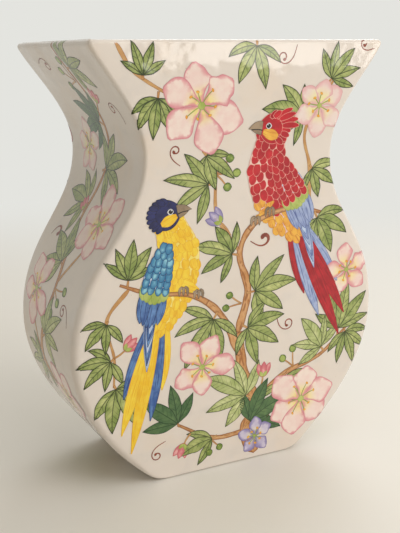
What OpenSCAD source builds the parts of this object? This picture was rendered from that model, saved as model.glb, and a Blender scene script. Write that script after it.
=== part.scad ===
// Slab-built flared vase in glazed earthenware. Two flat clay slabs cut to one outline
// lean apart as the front and the back. Two side strips bent along that outline and a base
// slab close the space between them, and coils of clay seal the seams from the inside.
// Millimetres, +Z up, origin on the table under the middle of the base.
// The front slab is towards -Y, and left and right are as seen from the front.

/* [Overall] */
// Height of the rim above the table
height = 340; // [320:5:380]
// Depth from the front face to the back face at the table
base_depth = 104; // [90:1:120]
// Depth from the front face to the back face at the rim
rim_depth = 166; // [145:1:180]

/* [Outline] */
// Width of the rim over its rounded corners
rim_w = 242; // [225:1:260]
// Lean of the flare from upright at the rim, in degrees
flare_lean = 31; // [22:1:40]
// Width of the neck at its narrowest place
neck_w = 160; // [145:1:175]
// Height of the neck above the table
neck_z = 258; // [245:1:270]
// Width of the belly at its widest place
belly_w = 269; // [255:1:290]
// Height of the belly above the table
belly_z = 116; // [105:1:130]
// Width of the base between the sharp corners under its rounding
base_w = 128; // [110:1:145]
// Lean of the lower sides from upright where they leave the base, in degrees
lower_lean = 53; // [45:1:60]
// Radius that rounds the base into the lower sides
base_corner_r = 22; // [14:1:28]

/* [Curves] */
// How far the flare holds its lean below the rim
flare_hold = 27; // [15:1:40]
// How far the neck's curve holds upright above the neck
neck_hold_up = 29; // [18:1:40]
// How far the neck's curve holds upright below the neck
neck_hold_down = 52; // [35:1:70]
// How far the belly's curve holds upright above the belly
belly_hold_up = 69; // [50:1:85]
// How far the belly's curve holds upright below the belly
belly_hold_down = 47; // [30:1:60]
// How far the lower side holds its lean above the base's rounding
lower_hold = 33; // [20:1:45]

/* [Clay] */
// Thickness of the front and back slabs, measured level
slab_t = 7; // [6:0.25:10]
// Thickness of the side strips
strip_t = 6.5; // [5.5:0.25:9]
// Thickness of the base slab
base_t = 7; // [5:0.25:10]

/* [Edges] */
// Radius rubbed onto the slabs' outer edges from the belly down
belly_edge_r = 5.8; // [3:0.1:5.8]
// Radius that rounds the slabs' rims, and their outer edges from the neck up
lip_r = 2.7; // [1.5:0.1:2.7]
// Radius on the slabs' outer edges where they stand on the table
foot_r = 2; // [1:0.25:3]
// Small radius on the slabs' inner edges, which leaves the fine line of each seam
seam_r = 0.5; // [0.2:0.1:0.8]

/* [Seam coils] */
// Leg of the coil pressed into each inner corner
coil_leg = 7; // [4:0.5:9]
// Leg of the coil where it is smeared out under the rim
coil_end_leg = 1.5; // [1:0.25:2.5]
// How far below the rim the coils end
coil_rim_gap = 12; // [8:1:25]
// Length over which a coil is smeared out towards its upper end
coil_taper = 45; // [20:5:70]

/* [Hidden] */

// Steps along each stretch of the outline, and round each small section
corner_steps = 6;
lower_steps = 14;
waist_steps = 18;
flare_steps = 12;
edge_steps = 6;
seam_steps = 3;
cove_steps = 4;

// Places in a station: a point of the outline, its outward normal and its two edge radii
POINT = 0;
NORMAL = 1;
OUTER_R = 2;
INNER_R = 3;

glaze_colour = "antiquewhite";
bisque_colour = "burlywood";
slip_colour = "tan";

function mix(a, b, t) = a + (b - a) * t;
function smooth(t) = let (u = min(max(t, 0), 1)) u * u * (3 - 2 * u);
function flip(list) = [for (i = [len(list) - 1:-1:0]) list[i]];

// Direction at an angle from +X, towards +Z
function aim(angle) = [cos(angle), sin(angle)];
// Direction that leans outwards from upright
function leaning(angle) = [sin(angle), cos(angle)];

// Half the depth over the front and back faces, and between them, at height z
function half_depth(z) = mix(base_depth, rim_depth, z / height) / 2;
function half_gap(z) = half_depth(z) - slab_t;

// Radius of a slab's outer edge at height z on its side, at most what the slab's thickness takes
full_edge_r = min(belly_edge_r, slab_t - 2 * seam_r);
function side_edge_r(z) =
  let (above_base = mix(foot_r, full_edge_r, smooth(z / base_corner_r)))
  mix(above_base, lip_r, smooth((z - belly_z) / (neck_z - belly_z)));

function station(point, normal) = [point, normal, side_edge_r(point.y), seam_r];

// Stations on an arc, from one angle of its normal to another
function arc_stations(centre, r, from, to, steps) = [
  for (i = [0:steps])
    let (normal = aim(mix(from, to, i / steps)))
    station(centre + r * normal, normal)
];

// Stations on a curve from a to d that leaves a towards b and reaches d from c, without its ends
function curve_stations(a, b, c, d, steps) = [
  for (i = [1:steps - 1])
    let (
      t = i / steps,
      s = 1 - t,
      point = s * s * s * a + 3 * s * s * t * b + 3 * s * t * t * c + t * t * t * d,
      along = s * s * (b - a) + 2 * s * t * (c - b) + t * t * (d - c)
    )
    station(point, [along.y, -along.x] / norm(along))
];

// The base's rounding touches the table at base_half and turns into the lower side.
base_half = base_w / 2 - base_corner_r * tan((90 - lower_lean) / 2);
base_centre = [base_half, base_corner_r];
lower_end = base_centre + base_corner_r * aim(-lower_lean);

belly = [belly_w / 2, belly_z];
neck = [neck_w / 2, neck_z];

// The top edge of a side strip is a full round, and the slabs' rim corners share it.
rim_r = strip_t / 2;
rim_centre = [rim_w / 2 - rim_r, height - rim_r];
flare_end = rim_centre + rim_r * aim(-flare_lean);

// The right-hand side of the outline, up from the table to the rim
side_stations = concat(
  arc_stations(base_centre, base_corner_r, -90, -lower_lean, corner_steps),
  curve_stations(
    lower_end, lower_end + lower_hold * leaning(lower_lean),
    belly - [0, belly_hold_down], belly, lower_steps
  ),
  [station(belly, [1, 0])],
  curve_stations(
    belly, belly + [0, belly_hold_up], neck - [0, neck_hold_down], neck, waist_steps
  ),
  [station(neck, [1, 0])],
  curve_stations(
    neck, neck + [0, neck_hold_up], flare_end - flare_hold * leaning(flare_lean), flare_end, flare_steps
  ),
  arc_stations(rim_centre, rim_r, -flare_lean, 90, corner_steps)
);

// The strips and the coils follow the side up to where the rim's round begins.
wall_stations = [for (s = side_stations) if (s[POINT].y <= flare_end.y) s];

// The rim's straight stretch is rounded on both its edges, between the two strips.
rim_station = [[rim_w / 2 - strip_t - lip_r, height], [0, 1], lip_r, lip_r];

function mirrored(s) = [[-s[POINT].x, s[POINT].y], [-s[NORMAL].x, s[NORMAL].y], s[OUTER_R], s[INNER_R]];

slab_stations = concat(
  side_stations,
  [rim_station, mirrored(rim_station)],
  [for (s = flip(side_stations)) mirrored(s)]
);

// Triangles over a ring of slab points: strips from side to side up to where the rim's rounds
// begin, one strip from there to the rim's straight stretch, and a fan over each rounded corner
function slab_cap() =
  let (
    rim = len(side_stations),
    round_start = rim - 1 - corner_steps,
    last = 2 * rim + 1
  )
  concat(
    [for (i = [0:round_start - 1]) each [[i, i + 1, last - i - 1], [i, last - i - 1, last - i]]],
    [[round_start, rim, rim + 1], [round_start, rim + 1, last - round_start]],
    [for (i = [round_start:rim - 2]) each [[i, i + 1, rim], [rim + 1, last - i - 1, last - i]]]
  );

// Triangles over a ring that its first point sees all of
function fan_cap(count) = [for (i = [1:count - 2]) [0, i, i + 1]];

// A solid through rings of points of equal number, closed by a cap over the first and the last
module loft(rings, cap) {
  count = len(rings[0]);
  last = (len(rings) - 1) * count;
  points = [for (ring = rings, point = ring) point];
  walls = [
    for (k = [0:count:last - count], i = [0:count - 1])
      let (a = k + i, b = k + (i + 1) % count)
      each [[a, b, b + count], [a, b + count, a + count]]
  ];
  first_cap = [for (t = cap) flip(t)];
  last_cap = [for (t = cap) [last + t[0], last + t[1], last + t[2]]];
  polyhedron(points = points, faces = concat(first_cap, walls, last_cap));
}

// Depth from the slab's inner face and inset from its outline, at a step round an edge
function inner_round(r, i) = let (a = 90 * i / seam_steps) [r - r * cos(a), r - r * sin(a)];
function outer_round(r, i) = let (a = 90 * i / edge_steps) [slab_t - r + r * sin(a), r - r * cos(a)];

function slab_point(s, cut) =
  let (p = s[POINT] - cut[1] * s[NORMAL])
  [p.x, -half_gap(p.y) - cut[0], p.y];

// The front slab: a flat slab cut to the outline, leaning out, with its edges rubbed round
module leaning_slab() {
  rings = concat(
    [for (i = [0:seam_steps]) [for (s = slab_stations) slab_point(s, inner_round(s[INNER_R], i))]],
    [for (i = [0:edge_steps]) [for (s = slab_stations) slab_point(s, outer_round(s[OUTER_R], i))]]
  );
  loft(rings, slab_cap());
}

// The space between the slabs' inner faces, from side to side
module between_slabs() {
  margin = 1;
  low = -margin;
  high = height + margin;
  rotate([90, 0, 90])
    linear_extrude(height = belly_w + rim_w, center = true)
      polygon([
        [-half_gap(low), low], [half_gap(low), low], [half_gap(high), high], [-half_gap(high), high]
      ]);
}

// The right-hand strip: one band of even thickness, round at its upper edge
module side_strip() {
  outer = [for (s = wall_stations) s[POINT]];
  inner = [for (s = flip(wall_stations)) s[POINT] - strip_t * s[NORMAL]];
  top_steps = 2 * corner_steps;
  top = [for (i = [1:top_steps - 1]) rim_centre + rim_r * aim(-flare_lean + 180 * i / top_steps)];
  intersection() {
    rotate([90, 0, 0])
      linear_extrude(height = base_depth + rim_depth, center = true)
        polygon(concat(outer, top, inner));
    between_slabs();
  }
}

// How wide a coil's leg is at height z, smeared out towards the rim
coil_end_z = height - coil_rim_gap;
function leg_at(z) = mix(coil_end_leg, coil_leg, smooth((coil_end_z - z) / coil_taper));

// A coil's section at a side station, in the corner of the front slab and the right-hand strip:
// one leg on the strip, one leg on the slab, and a hollow face between them
function coil_section(s) =
  let (
    inner = s[POINT] - strip_t * s[NORMAL],
    leg = leg_at(inner.y),
    hollow = [
      for (i = [0:cove_steps])
        let (a = 90 * i / cove_steps)
        [leg * (1 - sin(a)), leg * (1 - cos(a))]
    ],
    cuts = concat([[0, 0]], hollow)
  )
  [
    for (cut = cuts)
      let (p = inner - cut[1] * s[NORMAL])
      [p.x, cut[0] - half_gap(p.y), p.y]
  ];

// The front right coil, pressed along the inner corner from the base to below the rim
module side_seam_coil() {
  rings = [for (s = wall_stations) if (s[POINT].y < coil_end_z) coil_section(s)];
  loft(rings, fan_cap(len(rings[0])));
}

// The front coil between the base slab and the front slab
module base_seam_coil() {
  hollow = [
    for (i = [0:cove_steps])
      let (a = 90 * i / cove_steps, rise = coil_leg * (1 - cos(a)))
      [-half_gap(base_t + rise) + coil_leg * (1 - sin(a)), base_t + rise]
  ];
  rotate([90, 0, 90])
    linear_extrude(height = 2 * base_half, center = true)
      polygon(concat([[-half_gap(base_t), base_t]], hollow));
}

module front_slab() {
  color(glaze_colour) leaning_slab();
}

module back_slab() {
  color(glaze_colour) rotate([0, 0, 180]) leaning_slab();
}

module left_side_strip() {
  color(glaze_colour) rotate([0, 0, 180]) side_strip();
}

module right_side_strip() {
  color(glaze_colour) side_strip();
}

// The base slab fills the gap between the slabs and meets the ends of both strips.
module base_slab() {
  color(bisque_colour)
    intersection() {
      translate([-base_half, -base_depth, 0]) cube([2 * base_half, 2 * base_depth, base_t]);
      between_slabs();
    }
}

module front_left_seam_coil() {
  color(slip_colour) mirror([1, 0, 0]) side_seam_coil();
}

module front_right_seam_coil() {
  color(slip_colour) side_seam_coil();
}

module back_left_seam_coil() {
  color(slip_colour) rotate([0, 0, 180]) side_seam_coil();
}

module back_right_seam_coil() {
  color(slip_colour) mirror([0, 1, 0]) side_seam_coil();
}

module front_base_seam_coil() {
  color(slip_colour) base_seam_coil();
}

module back_base_seam_coil() {
  color(slip_colour) rotate([0, 0, 180]) base_seam_coil();
}

front_slab();
back_slab();
left_side_strip();
right_side_strip();
base_slab();
front_left_seam_coil();
front_right_seam_coil();
back_left_seam_coil();
back_right_seam_coil();
front_base_seam_coil();
back_base_seam_coil();
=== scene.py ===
"""A slab-built flared vase in ivory glazed earthenware, painted with birds, blossoms and branches.

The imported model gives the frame. The two slabs and the two side strips are rebuilt with finer,
slightly uneven surfaces, the base slab and the seam coils keep their solids, and the painting is
laid over the slabs and the strips brushstroke by brushstroke. Lengths are in millimetres until a
mesh is made, and panel coordinates run to the right and up as someone facing the panel sees it.
"""

from __future__ import annotations

import logging
import math
from dataclasses import dataclass, field
from enum import Enum
from typing import Sequence

import bmesh
import bpy
import numpy as np
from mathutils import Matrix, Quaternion, Vector

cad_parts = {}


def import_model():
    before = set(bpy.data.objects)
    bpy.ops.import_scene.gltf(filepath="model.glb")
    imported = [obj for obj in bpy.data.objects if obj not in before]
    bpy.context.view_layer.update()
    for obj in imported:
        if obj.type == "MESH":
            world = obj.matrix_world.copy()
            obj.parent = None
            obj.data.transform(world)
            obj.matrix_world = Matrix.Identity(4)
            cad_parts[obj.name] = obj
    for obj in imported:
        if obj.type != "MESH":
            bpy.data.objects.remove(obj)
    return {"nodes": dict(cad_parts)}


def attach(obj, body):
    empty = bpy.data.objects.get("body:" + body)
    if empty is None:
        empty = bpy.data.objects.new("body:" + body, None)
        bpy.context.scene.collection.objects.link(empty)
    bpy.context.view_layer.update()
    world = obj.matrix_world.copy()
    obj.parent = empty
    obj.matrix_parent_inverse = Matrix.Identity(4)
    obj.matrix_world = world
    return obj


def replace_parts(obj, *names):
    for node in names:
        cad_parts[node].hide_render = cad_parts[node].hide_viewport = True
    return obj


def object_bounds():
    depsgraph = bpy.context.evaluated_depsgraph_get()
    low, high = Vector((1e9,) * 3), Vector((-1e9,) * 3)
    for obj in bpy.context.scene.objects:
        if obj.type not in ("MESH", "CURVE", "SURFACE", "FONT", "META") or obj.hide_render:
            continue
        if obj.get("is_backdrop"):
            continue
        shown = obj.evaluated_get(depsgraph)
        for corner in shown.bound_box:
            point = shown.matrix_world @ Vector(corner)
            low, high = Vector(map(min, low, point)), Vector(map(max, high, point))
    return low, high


log = logging.getLogger("vase")

Array = np.ndarray
Rgba = tuple[float, float, float, float]
MM = 0.001
BODY = "root"
CURVE_STEPS = 24
BEND_POINTS = 33
FIRST_SEED = 11


# ---------------------------------------------------------------------------------------------
# Small helpers


def linear(hex_code: str) -> Rgba:
    """Turns an sRGB hex colour into linear light.

    Args:
        hex_code: Colour such as "#e3dacb".

    Returns:
        Linear red, green, blue and an alpha of 1.
    """
    parts = [int(hex_code[i : i + 2], 16) / 255 for i in (1, 3, 5)]
    red, green, blue = (c / 12.92 if c <= 0.04045 else ((c + 0.055) / 1.055) ** 2.4 for c in parts)
    return red, green, blue, 1.0


def smoothstep(t: Array) -> Array:
    """Eases t from 0 to 1, flat at both ends and beyond them."""
    t = np.clip(t, 0.0, 1.0)
    return t * t * (3 - 2 * t)


def unit(angle: float) -> Array:
    """Gives the direction at an angle in degrees from the panel's right, turning upwards."""
    return np.array([math.cos(math.radians(angle)), math.sin(math.radians(angle))])


def resample(points: Array, count: int) -> Array:
    """Spreads points evenly along a polyline.

    Args:
        points: The polyline's corners, one row each.
        count: How many points to return.

    Returns:
        The evenly spaced points, ends included.
    """
    run = np.concatenate([[0.0], np.cumsum(np.linalg.norm(np.diff(points, axis=0), axis=1))])
    stops = np.linspace(0.0, run[-1], count)
    return np.stack([np.interp(stops, run, points[:, k]) for k in range(points.shape[1])], axis=1)


def through(points: Sequence[Sequence[float]], count: int) -> Array:
    """Draws a smooth curve through points.

    Args:
        points: Points that the curve passes, in order.
        count: How many points to return.

    Returns:
        Points spread evenly along the curve.
    """
    knots = np.asarray(points, float)
    slopes = np.gradient(knots, axis=0)
    pieces = []
    for start, end, leave, arrive in zip(knots[:-1], knots[1:], slopes[:-1], slopes[1:]):
        t = np.linspace(0.0, 1.0, CURVE_STEPS)[:, None]
        s = 1 - t
        pieces.append(
            s * s * (1 + 2 * t) * start + s * s * t * leave + t * t * (3 - 2 * t) * end - t * t * s * arrive
        )
    return resample(np.concatenate(pieces), count)


def node(
    tree: bpy.types.NodeTree,
    kind: str,
    settings: dict[str, object] | None = None,
    inputs: dict[str | int, object] | None = None,
) -> bpy.types.Node:
    """Adds a node with its settings, values and links.

    Args:
        tree: The node tree that gets it.
        kind: The node's type name.
        settings: Properties to set on the node.
        inputs: For each input by name or number, a value to set, or a socket to link, or a node
            whose first output in use is linked.

    Returns:
        The new node.
    """
    made = tree.nodes.new(kind)
    for name, value in (settings or {}).items():
        setattr(made, name, value)
    for key, value in (inputs or {}).items():
        named = (socket for socket in made.inputs if socket.enabled and socket.name == key)
        target = made.inputs[key] if isinstance(key, int) else next(named)
        if isinstance(value, bpy.types.Node):
            value = next(socket for socket in value.outputs if socket.enabled)
        if isinstance(value, bpy.types.NodeSocket):
            tree.links.new(value, target)
        else:
            target.default_value = value
    return made


def mesh_piece(
    name: str,
    points: Array,
    faces: Sequence[Sequence[int]],
    material: bpy.types.Material,
    maps: dict[str, Array] | None = None,
    crease: float | None = None,
) -> bpy.types.Object:
    """Makes a smooth-shaded mesh that rides on the vase.

    Args:
        name: The piece's name.
        points: Corners in millimetres, one row each.
        faces: Corner numbers of each face, anticlockwise from outside.
        material: The piece's finish.
        maps: UV maps by name, each with a row per corner.
        crease: Angle in degrees above which edges stay crisp. Corners that coincide are joined
            first. Without it, every edge is smooth.

    Returns:
        The new object.
    """
    mesh = bpy.data.meshes.new(name)
    mesh.from_pydata((points * MM).tolist(), [], [tuple(f) for f in faces])
    corners = np.empty(len(mesh.loops), dtype=np.int32)
    mesh.loops.foreach_get("vertex_index", corners)
    for map_name, values in (maps or {}).items():
        layer = mesh.uv_layers.new(name=map_name)
        layer.data.foreach_set("uv", values[corners].astype(np.float32).ravel())
    mesh.polygons.foreach_set("use_smooth", np.ones(len(mesh.polygons), dtype=bool))
    mesh.materials.append(material)
    if crease is not None:
        shape = bmesh.new()
        shape.from_mesh(mesh)
        bmesh.ops.remove_doubles(shape, verts=shape.verts, dist=0.001 * MM)
        shape.to_mesh(mesh)
        shape.free()
        mesh.set_sharp_from_angle(angle=math.radians(crease))
    mesh.update()
    piece = bpy.data.objects.new(name, mesh)
    bpy.context.scene.collection.objects.link(piece)
    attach(piece, BODY)
    return piece


def grid_faces(rows: int, columns: int, start: int = 0, wrap: bool = False) -> list[tuple[int, ...]]:
    """Lists the quads of a grid whose rows follow each other in the corner list.

    Args:
        rows: Rows of corners.
        columns: Corners in a row.
        start: Number of the first corner.
        wrap: Whether each row closes on itself.

    Returns:
        Corner numbers of each quad, anticlockwise where rows run up and columns to the right.
    """
    quads = []
    for r in range(rows - 1):
        for c in range(columns if wrap else columns - 1):
            here = start + r * columns
            beside = (c + 1) % columns
            quads.append((here + c, here + beside, here + columns + beside, here + columns + c))
    return quads


# ---------------------------------------------------------------------------------------------
# Form


@dataclass
class VaseForm:
    """The shape that the slabs, the strips and the painting share.

    The solids' sizes are repeated here, and the glazed surface lies a hair inside them so that
    the painted colours, which stand a hair proud of it, stay within the solids' box.
    """

    height: float
    base_depth: float = 104.0
    rim_depth: float = 166.0
    rim_w: float = 242.0
    flare_lean: float = 31.0
    neck_w: float = 160.0
    neck_z: float = 258.0
    belly_w: float = 269.0
    belly_z: float = 116.0
    base_w: float = 128.0
    lower_lean: float = 53.0
    base_corner_r: float = 22.0
    flare_hold: float = 27.0
    neck_hold_up: float = 29.0
    neck_hold_down: float = 52.0
    belly_hold_up: float = 69.0
    belly_hold_down: float = 47.0
    lower_hold: float = 33.0
    slab_t: float = 7.0
    strip_t: float = 6.5
    belly_edge_r: float = 5.8
    lip_r: float = 2.7
    foot_r: float = 2.0
    glaze_inset: float = 0.45
    rim_roll: float = 1.3
    rim_roll_length: float = 22.0
    swell_mm: tuple[float, float] = (17.0, 21.0)
    swell_height: float = 0.16
    rim_swell_height: float = 0.2
    ripple_mm: float = 29.0
    ripple_height: float = 0.14
    turn_steps: int = 12
    curve_steps: int = 90
    outline_steps: int = 430
    points: Array = field(init=False)
    normals: Array = field(init=False)
    run: Array = field(init=False)

    def __post_init__(self) -> None:
        """Works out the right-hand side of the outline, about a millimetre a step."""
        rim_r = self.strip_t / 2
        base_half = self.base_w / 2 - self.base_corner_r * math.tan(math.radians(90 - self.lower_lean) / 2)
        base_centre = np.array([base_half, self.base_corner_r])
        rim_centre = np.array([self.rim_w / 2 - rim_r, self.height - rim_r])
        lower_end = base_centre + self.base_corner_r * unit(-self.lower_lean)
        flare_end = rim_centre + rim_r * unit(-self.flare_lean)
        belly = np.array([self.belly_w / 2, self.belly_z])
        neck = np.array([self.neck_w / 2, self.neck_z])
        up = np.array([0.0, 1.0])
        base_angles = np.linspace(-90, -self.lower_lean, self.turn_steps)
        rim_angles = np.linspace(-self.flare_lean, 90, self.turn_steps)
        base_turn = [base_centre + self.base_corner_r * unit(angle) for angle in base_angles]
        rim_turn = [rim_centre + rim_r * unit(angle) for angle in rim_angles]
        leave_base = lower_end + self.lower_hold * unit(90 - self.lower_lean)
        reach_rim = flare_end - self.flare_hold * unit(90 - self.flare_lean)
        lower = self._curve(lower_end, leave_base, belly - self.belly_hold_down * up, belly)
        waist = self._curve(belly, belly + self.belly_hold_up * up, neck - self.neck_hold_down * up, neck)
        flare = self._curve(neck, neck + self.neck_hold_up * up, reach_rim, flare_end)
        whole = np.concatenate([base_turn, lower[1:], waist[1:], flare[1:], rim_turn[1:]])
        self.points = resample(whole, self.outline_steps)
        along = np.gradient(self.points, axis=0)
        along /= np.linalg.norm(along, axis=1)[:, None]
        self.normals = np.stack([along[:, 1], -along[:, 0]], axis=1)
        self.normals[0], self.normals[-1] = (0.0, -1.0), (0.0, 1.0)
        self.points = self.points - self.glaze_inset * self.normals
        self.points[0, 1] = 0.0
        steps = np.linalg.norm(np.diff(self.points, axis=0), axis=1)
        self.run = np.concatenate([[0.0], np.cumsum(steps)])

    def _curve(self, a: Array, b: Array, c: Array, d: Array) -> Array:
        """Samples a cubic curve, finer than the outline needs.

        Args:
            a: Where it starts.
            b: What it leaves towards.
            c: What it arrives from.
            d: Where it ends.

        Returns:
            Points along it, ends included.
        """
        t = np.linspace(0.0, 1.0, self.curve_steps)[:, None]
        s = 1 - t
        return s**3 * a + 3 * s * s * t * b + 3 * s * t * t * c + t**3 * d

    def mesh_rows(self) -> Array:
        """Picks the outline points that the walls' meshes use: all at the lip, else one in 3 or 4.

        Returns:
            The points' numbers from the base to the lip.
        """
        corner_end, lip_start, last = 24, 418, self.outline_steps
        parts = (np.arange(0, corner_end, 3), np.arange(corner_end, lip_start, 4), np.arange(lip_start, last))
        return np.concatenate(parts)

    def half_depth(self, z: Array) -> Array:
        """Gives half the depth over the glazed faces at height z, rolled in a little at the rim.

        Args:
            z: Heights above the table.

        Returns:
            The distance from the middle plane to the front face.
        """
        flat = (self.base_depth + (self.rim_depth - self.base_depth) * z / self.height) / 2
        near_rim = np.clip((z - self.height + self.rim_roll_length) / self.rim_roll_length, 0, 1)
        return flat - self.glaze_inset - self.rim_roll * near_rim**2

    def half_gap(self, z: Array) -> Array:
        """Gives half the space between the slabs' inner faces at height z."""
        return self.half_depth(z) + self.glaze_inset - self.slab_t

    def edge_radius(self, z: Array) -> Array:
        """Gives the radius of the slabs' outer edges at height z on their sides.

        Args:
            z: Heights above the table.

        Returns:
            The radius there.
        """
        low = self.foot_r + (self.belly_edge_r - self.foot_r) * smoothstep(z / self.base_corner_r)
        return low + (self.lip_r - low) * smoothstep((z - self.belly_z) / (self.neck_z - self.belly_z))

    def nearest(self, xz: Array) -> tuple[Array, Array]:
        """Finds where on the outline points lie nearest, on the right-hand side.

        Args:
            xz: Points with x not negative.

        Returns:
            The number of the nearest outline point, and the distance outside the outline, which
            is negative inside it.
        """
        gaps = xz[:, None, :] - self.points[None, :, :]
        index = np.argmin((gaps**2).sum(axis=2), axis=1)
        outside = ((xz - self.points[index]) * self.normals[index]).sum(axis=1)
        return index, outside

    def unevenness(self, right: Array, up: Array, phase: float) -> Array:
        """Gives how far a hand-smoothed wall stands in or out, stronger towards the rim.

        Args:
            right: Places across the wall.
            up: Places up the wall.
            phase: A number that sets one wall apart from the next.

        Returns:
            The offset along the wall's normal.
        """
        wide, tall = self.swell_mm
        swell = np.sin(right / wide + 1.3 * phase) * np.sin(up / tall + phase)
        ripple = np.sin((right + up) / self.ripple_mm + 2.1 * phase)
        near_rim = smoothstep((up - self.height + 90) / 80)
        return (self.swell_height + self.rim_swell_height * near_rim) * swell + self.ripple_height * ripple


class Panel:
    """A painted wall: places panel coordinates on the glazed surface."""

    name = "panel"

    def __init__(self, form: VaseForm) -> None:
        """Keeps the shared form."""
        self.form = form

    def place(self, flat: Array, lift: float) -> Array:
        """Places points on the wall.

        Args:
            flat: Points in panel coordinates, one row each.
            lift: How far off the glazed surface they stand.

        Returns:
            The points in the vase's frame.
        """
        raise NotImplementedError

    def meets_edge(self, line: Array, reach: float) -> bool:
        """Tells whether a stroke comes to where the wall turns, so that it needs a finer mesh.

        Args:
            line: Points along the stroke.
            reach: Half its breadth.

        Returns:
            True where it does.
        """
        raise NotImplementedError


class SlabPanel(Panel):
    """The front or back slab's face, which runs on round its edges on to the side strips.

    Its unevenness dies away over the last millimetres before the edge.
    """

    calm_edge = 22.0

    def __init__(self, form: VaseForm, name: str, facing: float, phase: float) -> None:
        """Keeps which way the slab faces.

        Args:
            form: The shared form.
            name: The panel's name.
            facing: 1 for the front and -1 for the back.
            phase: What sets this wall's unevenness apart.
        """
        super().__init__(form)
        self.name = name
        self.facing = facing
        self.phase = phase

    def face(self, x: Array, z: Array, outside: Array) -> Array:
        """Gives how far the face stands from the middle plane, unevenness included.

        Args:
            x: Places across the face.
            z: Heights above the table.
            outside: Distance outside the outline, negative inside it.

        Returns:
            The distance along the slab's own facing direction.
        """
        bumps = self.form.unevenness(x, z, self.phase) * smoothstep(-outside / self.calm_edge - 0.3)
        return self.form.half_depth(z) + bumps

    def place(self, flat: Array, lift: float) -> Array:
        """Places points on the face, or round its edge where they lie outside it.

        Args:
            flat: Points as x from the middle and height.
            lift: How far off the glazed surface they stand.

        Returns:
            The points in the vase's frame.
        """
        form = self.form
        hand = np.where(flat[:, 0] < 0, -1.0, 1.0)
        across = np.abs(flat[:, 0])
        index, outside = form.nearest(np.stack([across, flat[:, 1]], axis=1))
        foot, normal = form.points[index].copy(), form.normals[index].copy()
        crest, toe = form.points[-1], form.points[0]
        over_rim = (across < crest[0]) & (flat[:, 1] - crest[1] > -form.lip_r)
        by_base = (across < toe[0]) & (flat[:, 1] < form.foot_r)
        beyond = outside
        for straight, level, way in ((over_rim, crest[1], 1.0), (by_base, 0.0, -1.0)):
            foot[straight] = np.stack([across[straight], np.full(straight.sum(), level)], axis=1)
            normal[straight] = (0.0, way)
            beyond = np.where(straight, way * (flat[:, 1] - level), beyond)
        radius = np.where(over_rim, form.lip_r, form.edge_radius(foot[:, 1]))
        past = beyond + radius
        turn = np.clip(past / radius, 0.0, math.pi / 2)
        inset = radius * (1 - np.sin(turn))
        depth = radius * (1 - np.cos(turn)) + np.maximum(past - radius * math.pi / 2, 0.0)
        wrapped = foot - (inset - lift * np.sin(turn))[:, None] * normal
        on_face = past < 0
        x = np.where(on_face, across, wrapped[:, 0]) * hand
        z = np.maximum(np.where(on_face, flat[:, 1], wrapped[:, 1]), 0.0)
        outside[over_rim] = -form.neck_w  # the wall stays uneven right up to its lip
        y = -(self.face(x, z, outside) - depth * ~on_face + lift * np.cos(turn))
        return np.stack([self.facing * x, self.facing * y, z], axis=1)

    def meets_edge(self, line: Array, reach: float) -> bool:
        """Tells whether a stroke comes near the slab's rounded edge or its lip.

        Args:
            line: Points along the stroke.
            reach: Half its breadth.

        Returns:
            True where it does.
        """
        outside = self.form.nearest(np.abs(line))[1]
        near_lip = line[:, 1].max() + reach > self.form.height - 2 * self.form.lip_r
        return bool(near_lip or (outside.max() + reach > -self.form.belly_edge_r))


class StripPanel(Panel):
    """A side strip's outer face: across it from the middle, and up along its bend.

    Its unevenness dies away over the last millimetres before the slabs and the base.
    """

    calm_side = 18.0
    calm_base = 24.0

    def __init__(self, form: VaseForm, name: str, side: float, phase: float) -> None:
        """Keeps which side the strip closes.

        Args:
            form: The shared form.
            name: The panel's name.
            side: -1 for the left strip and 1 for the right one.
            phase: What sets this wall's unevenness apart.
        """
        super().__init__(form)
        self.name = name
        self.side = side
        self.phase = phase

    def place(self, flat: Array, lift: float) -> Array:
        """Places points on the strip.

        Args:
            flat: Points as the distance right of the middle and the way up along the bend.
            lift: How far off the glazed surface they stand.

        Returns:
            The points in the vase's frame.
        """
        form = self.form
        run = flat[:, 1]
        x = np.interp(run, form.run, form.points[:, 0])
        z = np.interp(run, form.run, form.points[:, 1])
        out = np.stack([np.interp(run, form.run, form.normals[:, k]) for k in (0, 1)], axis=1)
        out /= np.linalg.norm(out, axis=1)[:, None]
        from_slab = form.half_gap(z) - np.abs(flat[:, 0])
        bumps = form.unevenness(flat[:, 0], z, self.phase) * smoothstep(from_slab / self.calm_side)
        off = bumps * smoothstep(run / self.calm_base - 0.3) + lift
        up = np.maximum(z + off * out[:, 1], 0.0)
        return np.stack([self.side * (x + off * out[:, 0]), self.side * flat[:, 0], up], axis=1)

    def meets_edge(self, line: Array, reach: float) -> bool:
        """Tells whether a stroke comes to the turn at the base or at the lip.

        Args:
            line: Points along the stroke.
            reach: Half its breadth.

        Returns:
            True where it does.
        """
        low, high = line[:, 1].min() - reach, line[:, 1].max() + reach
        return bool(low < 2 * self.form.base_corner_r or high > self.form.run[-1] - 2 * self.form.strip_t)


# ---------------------------------------------------------------------------------------------
# Clay


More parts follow.
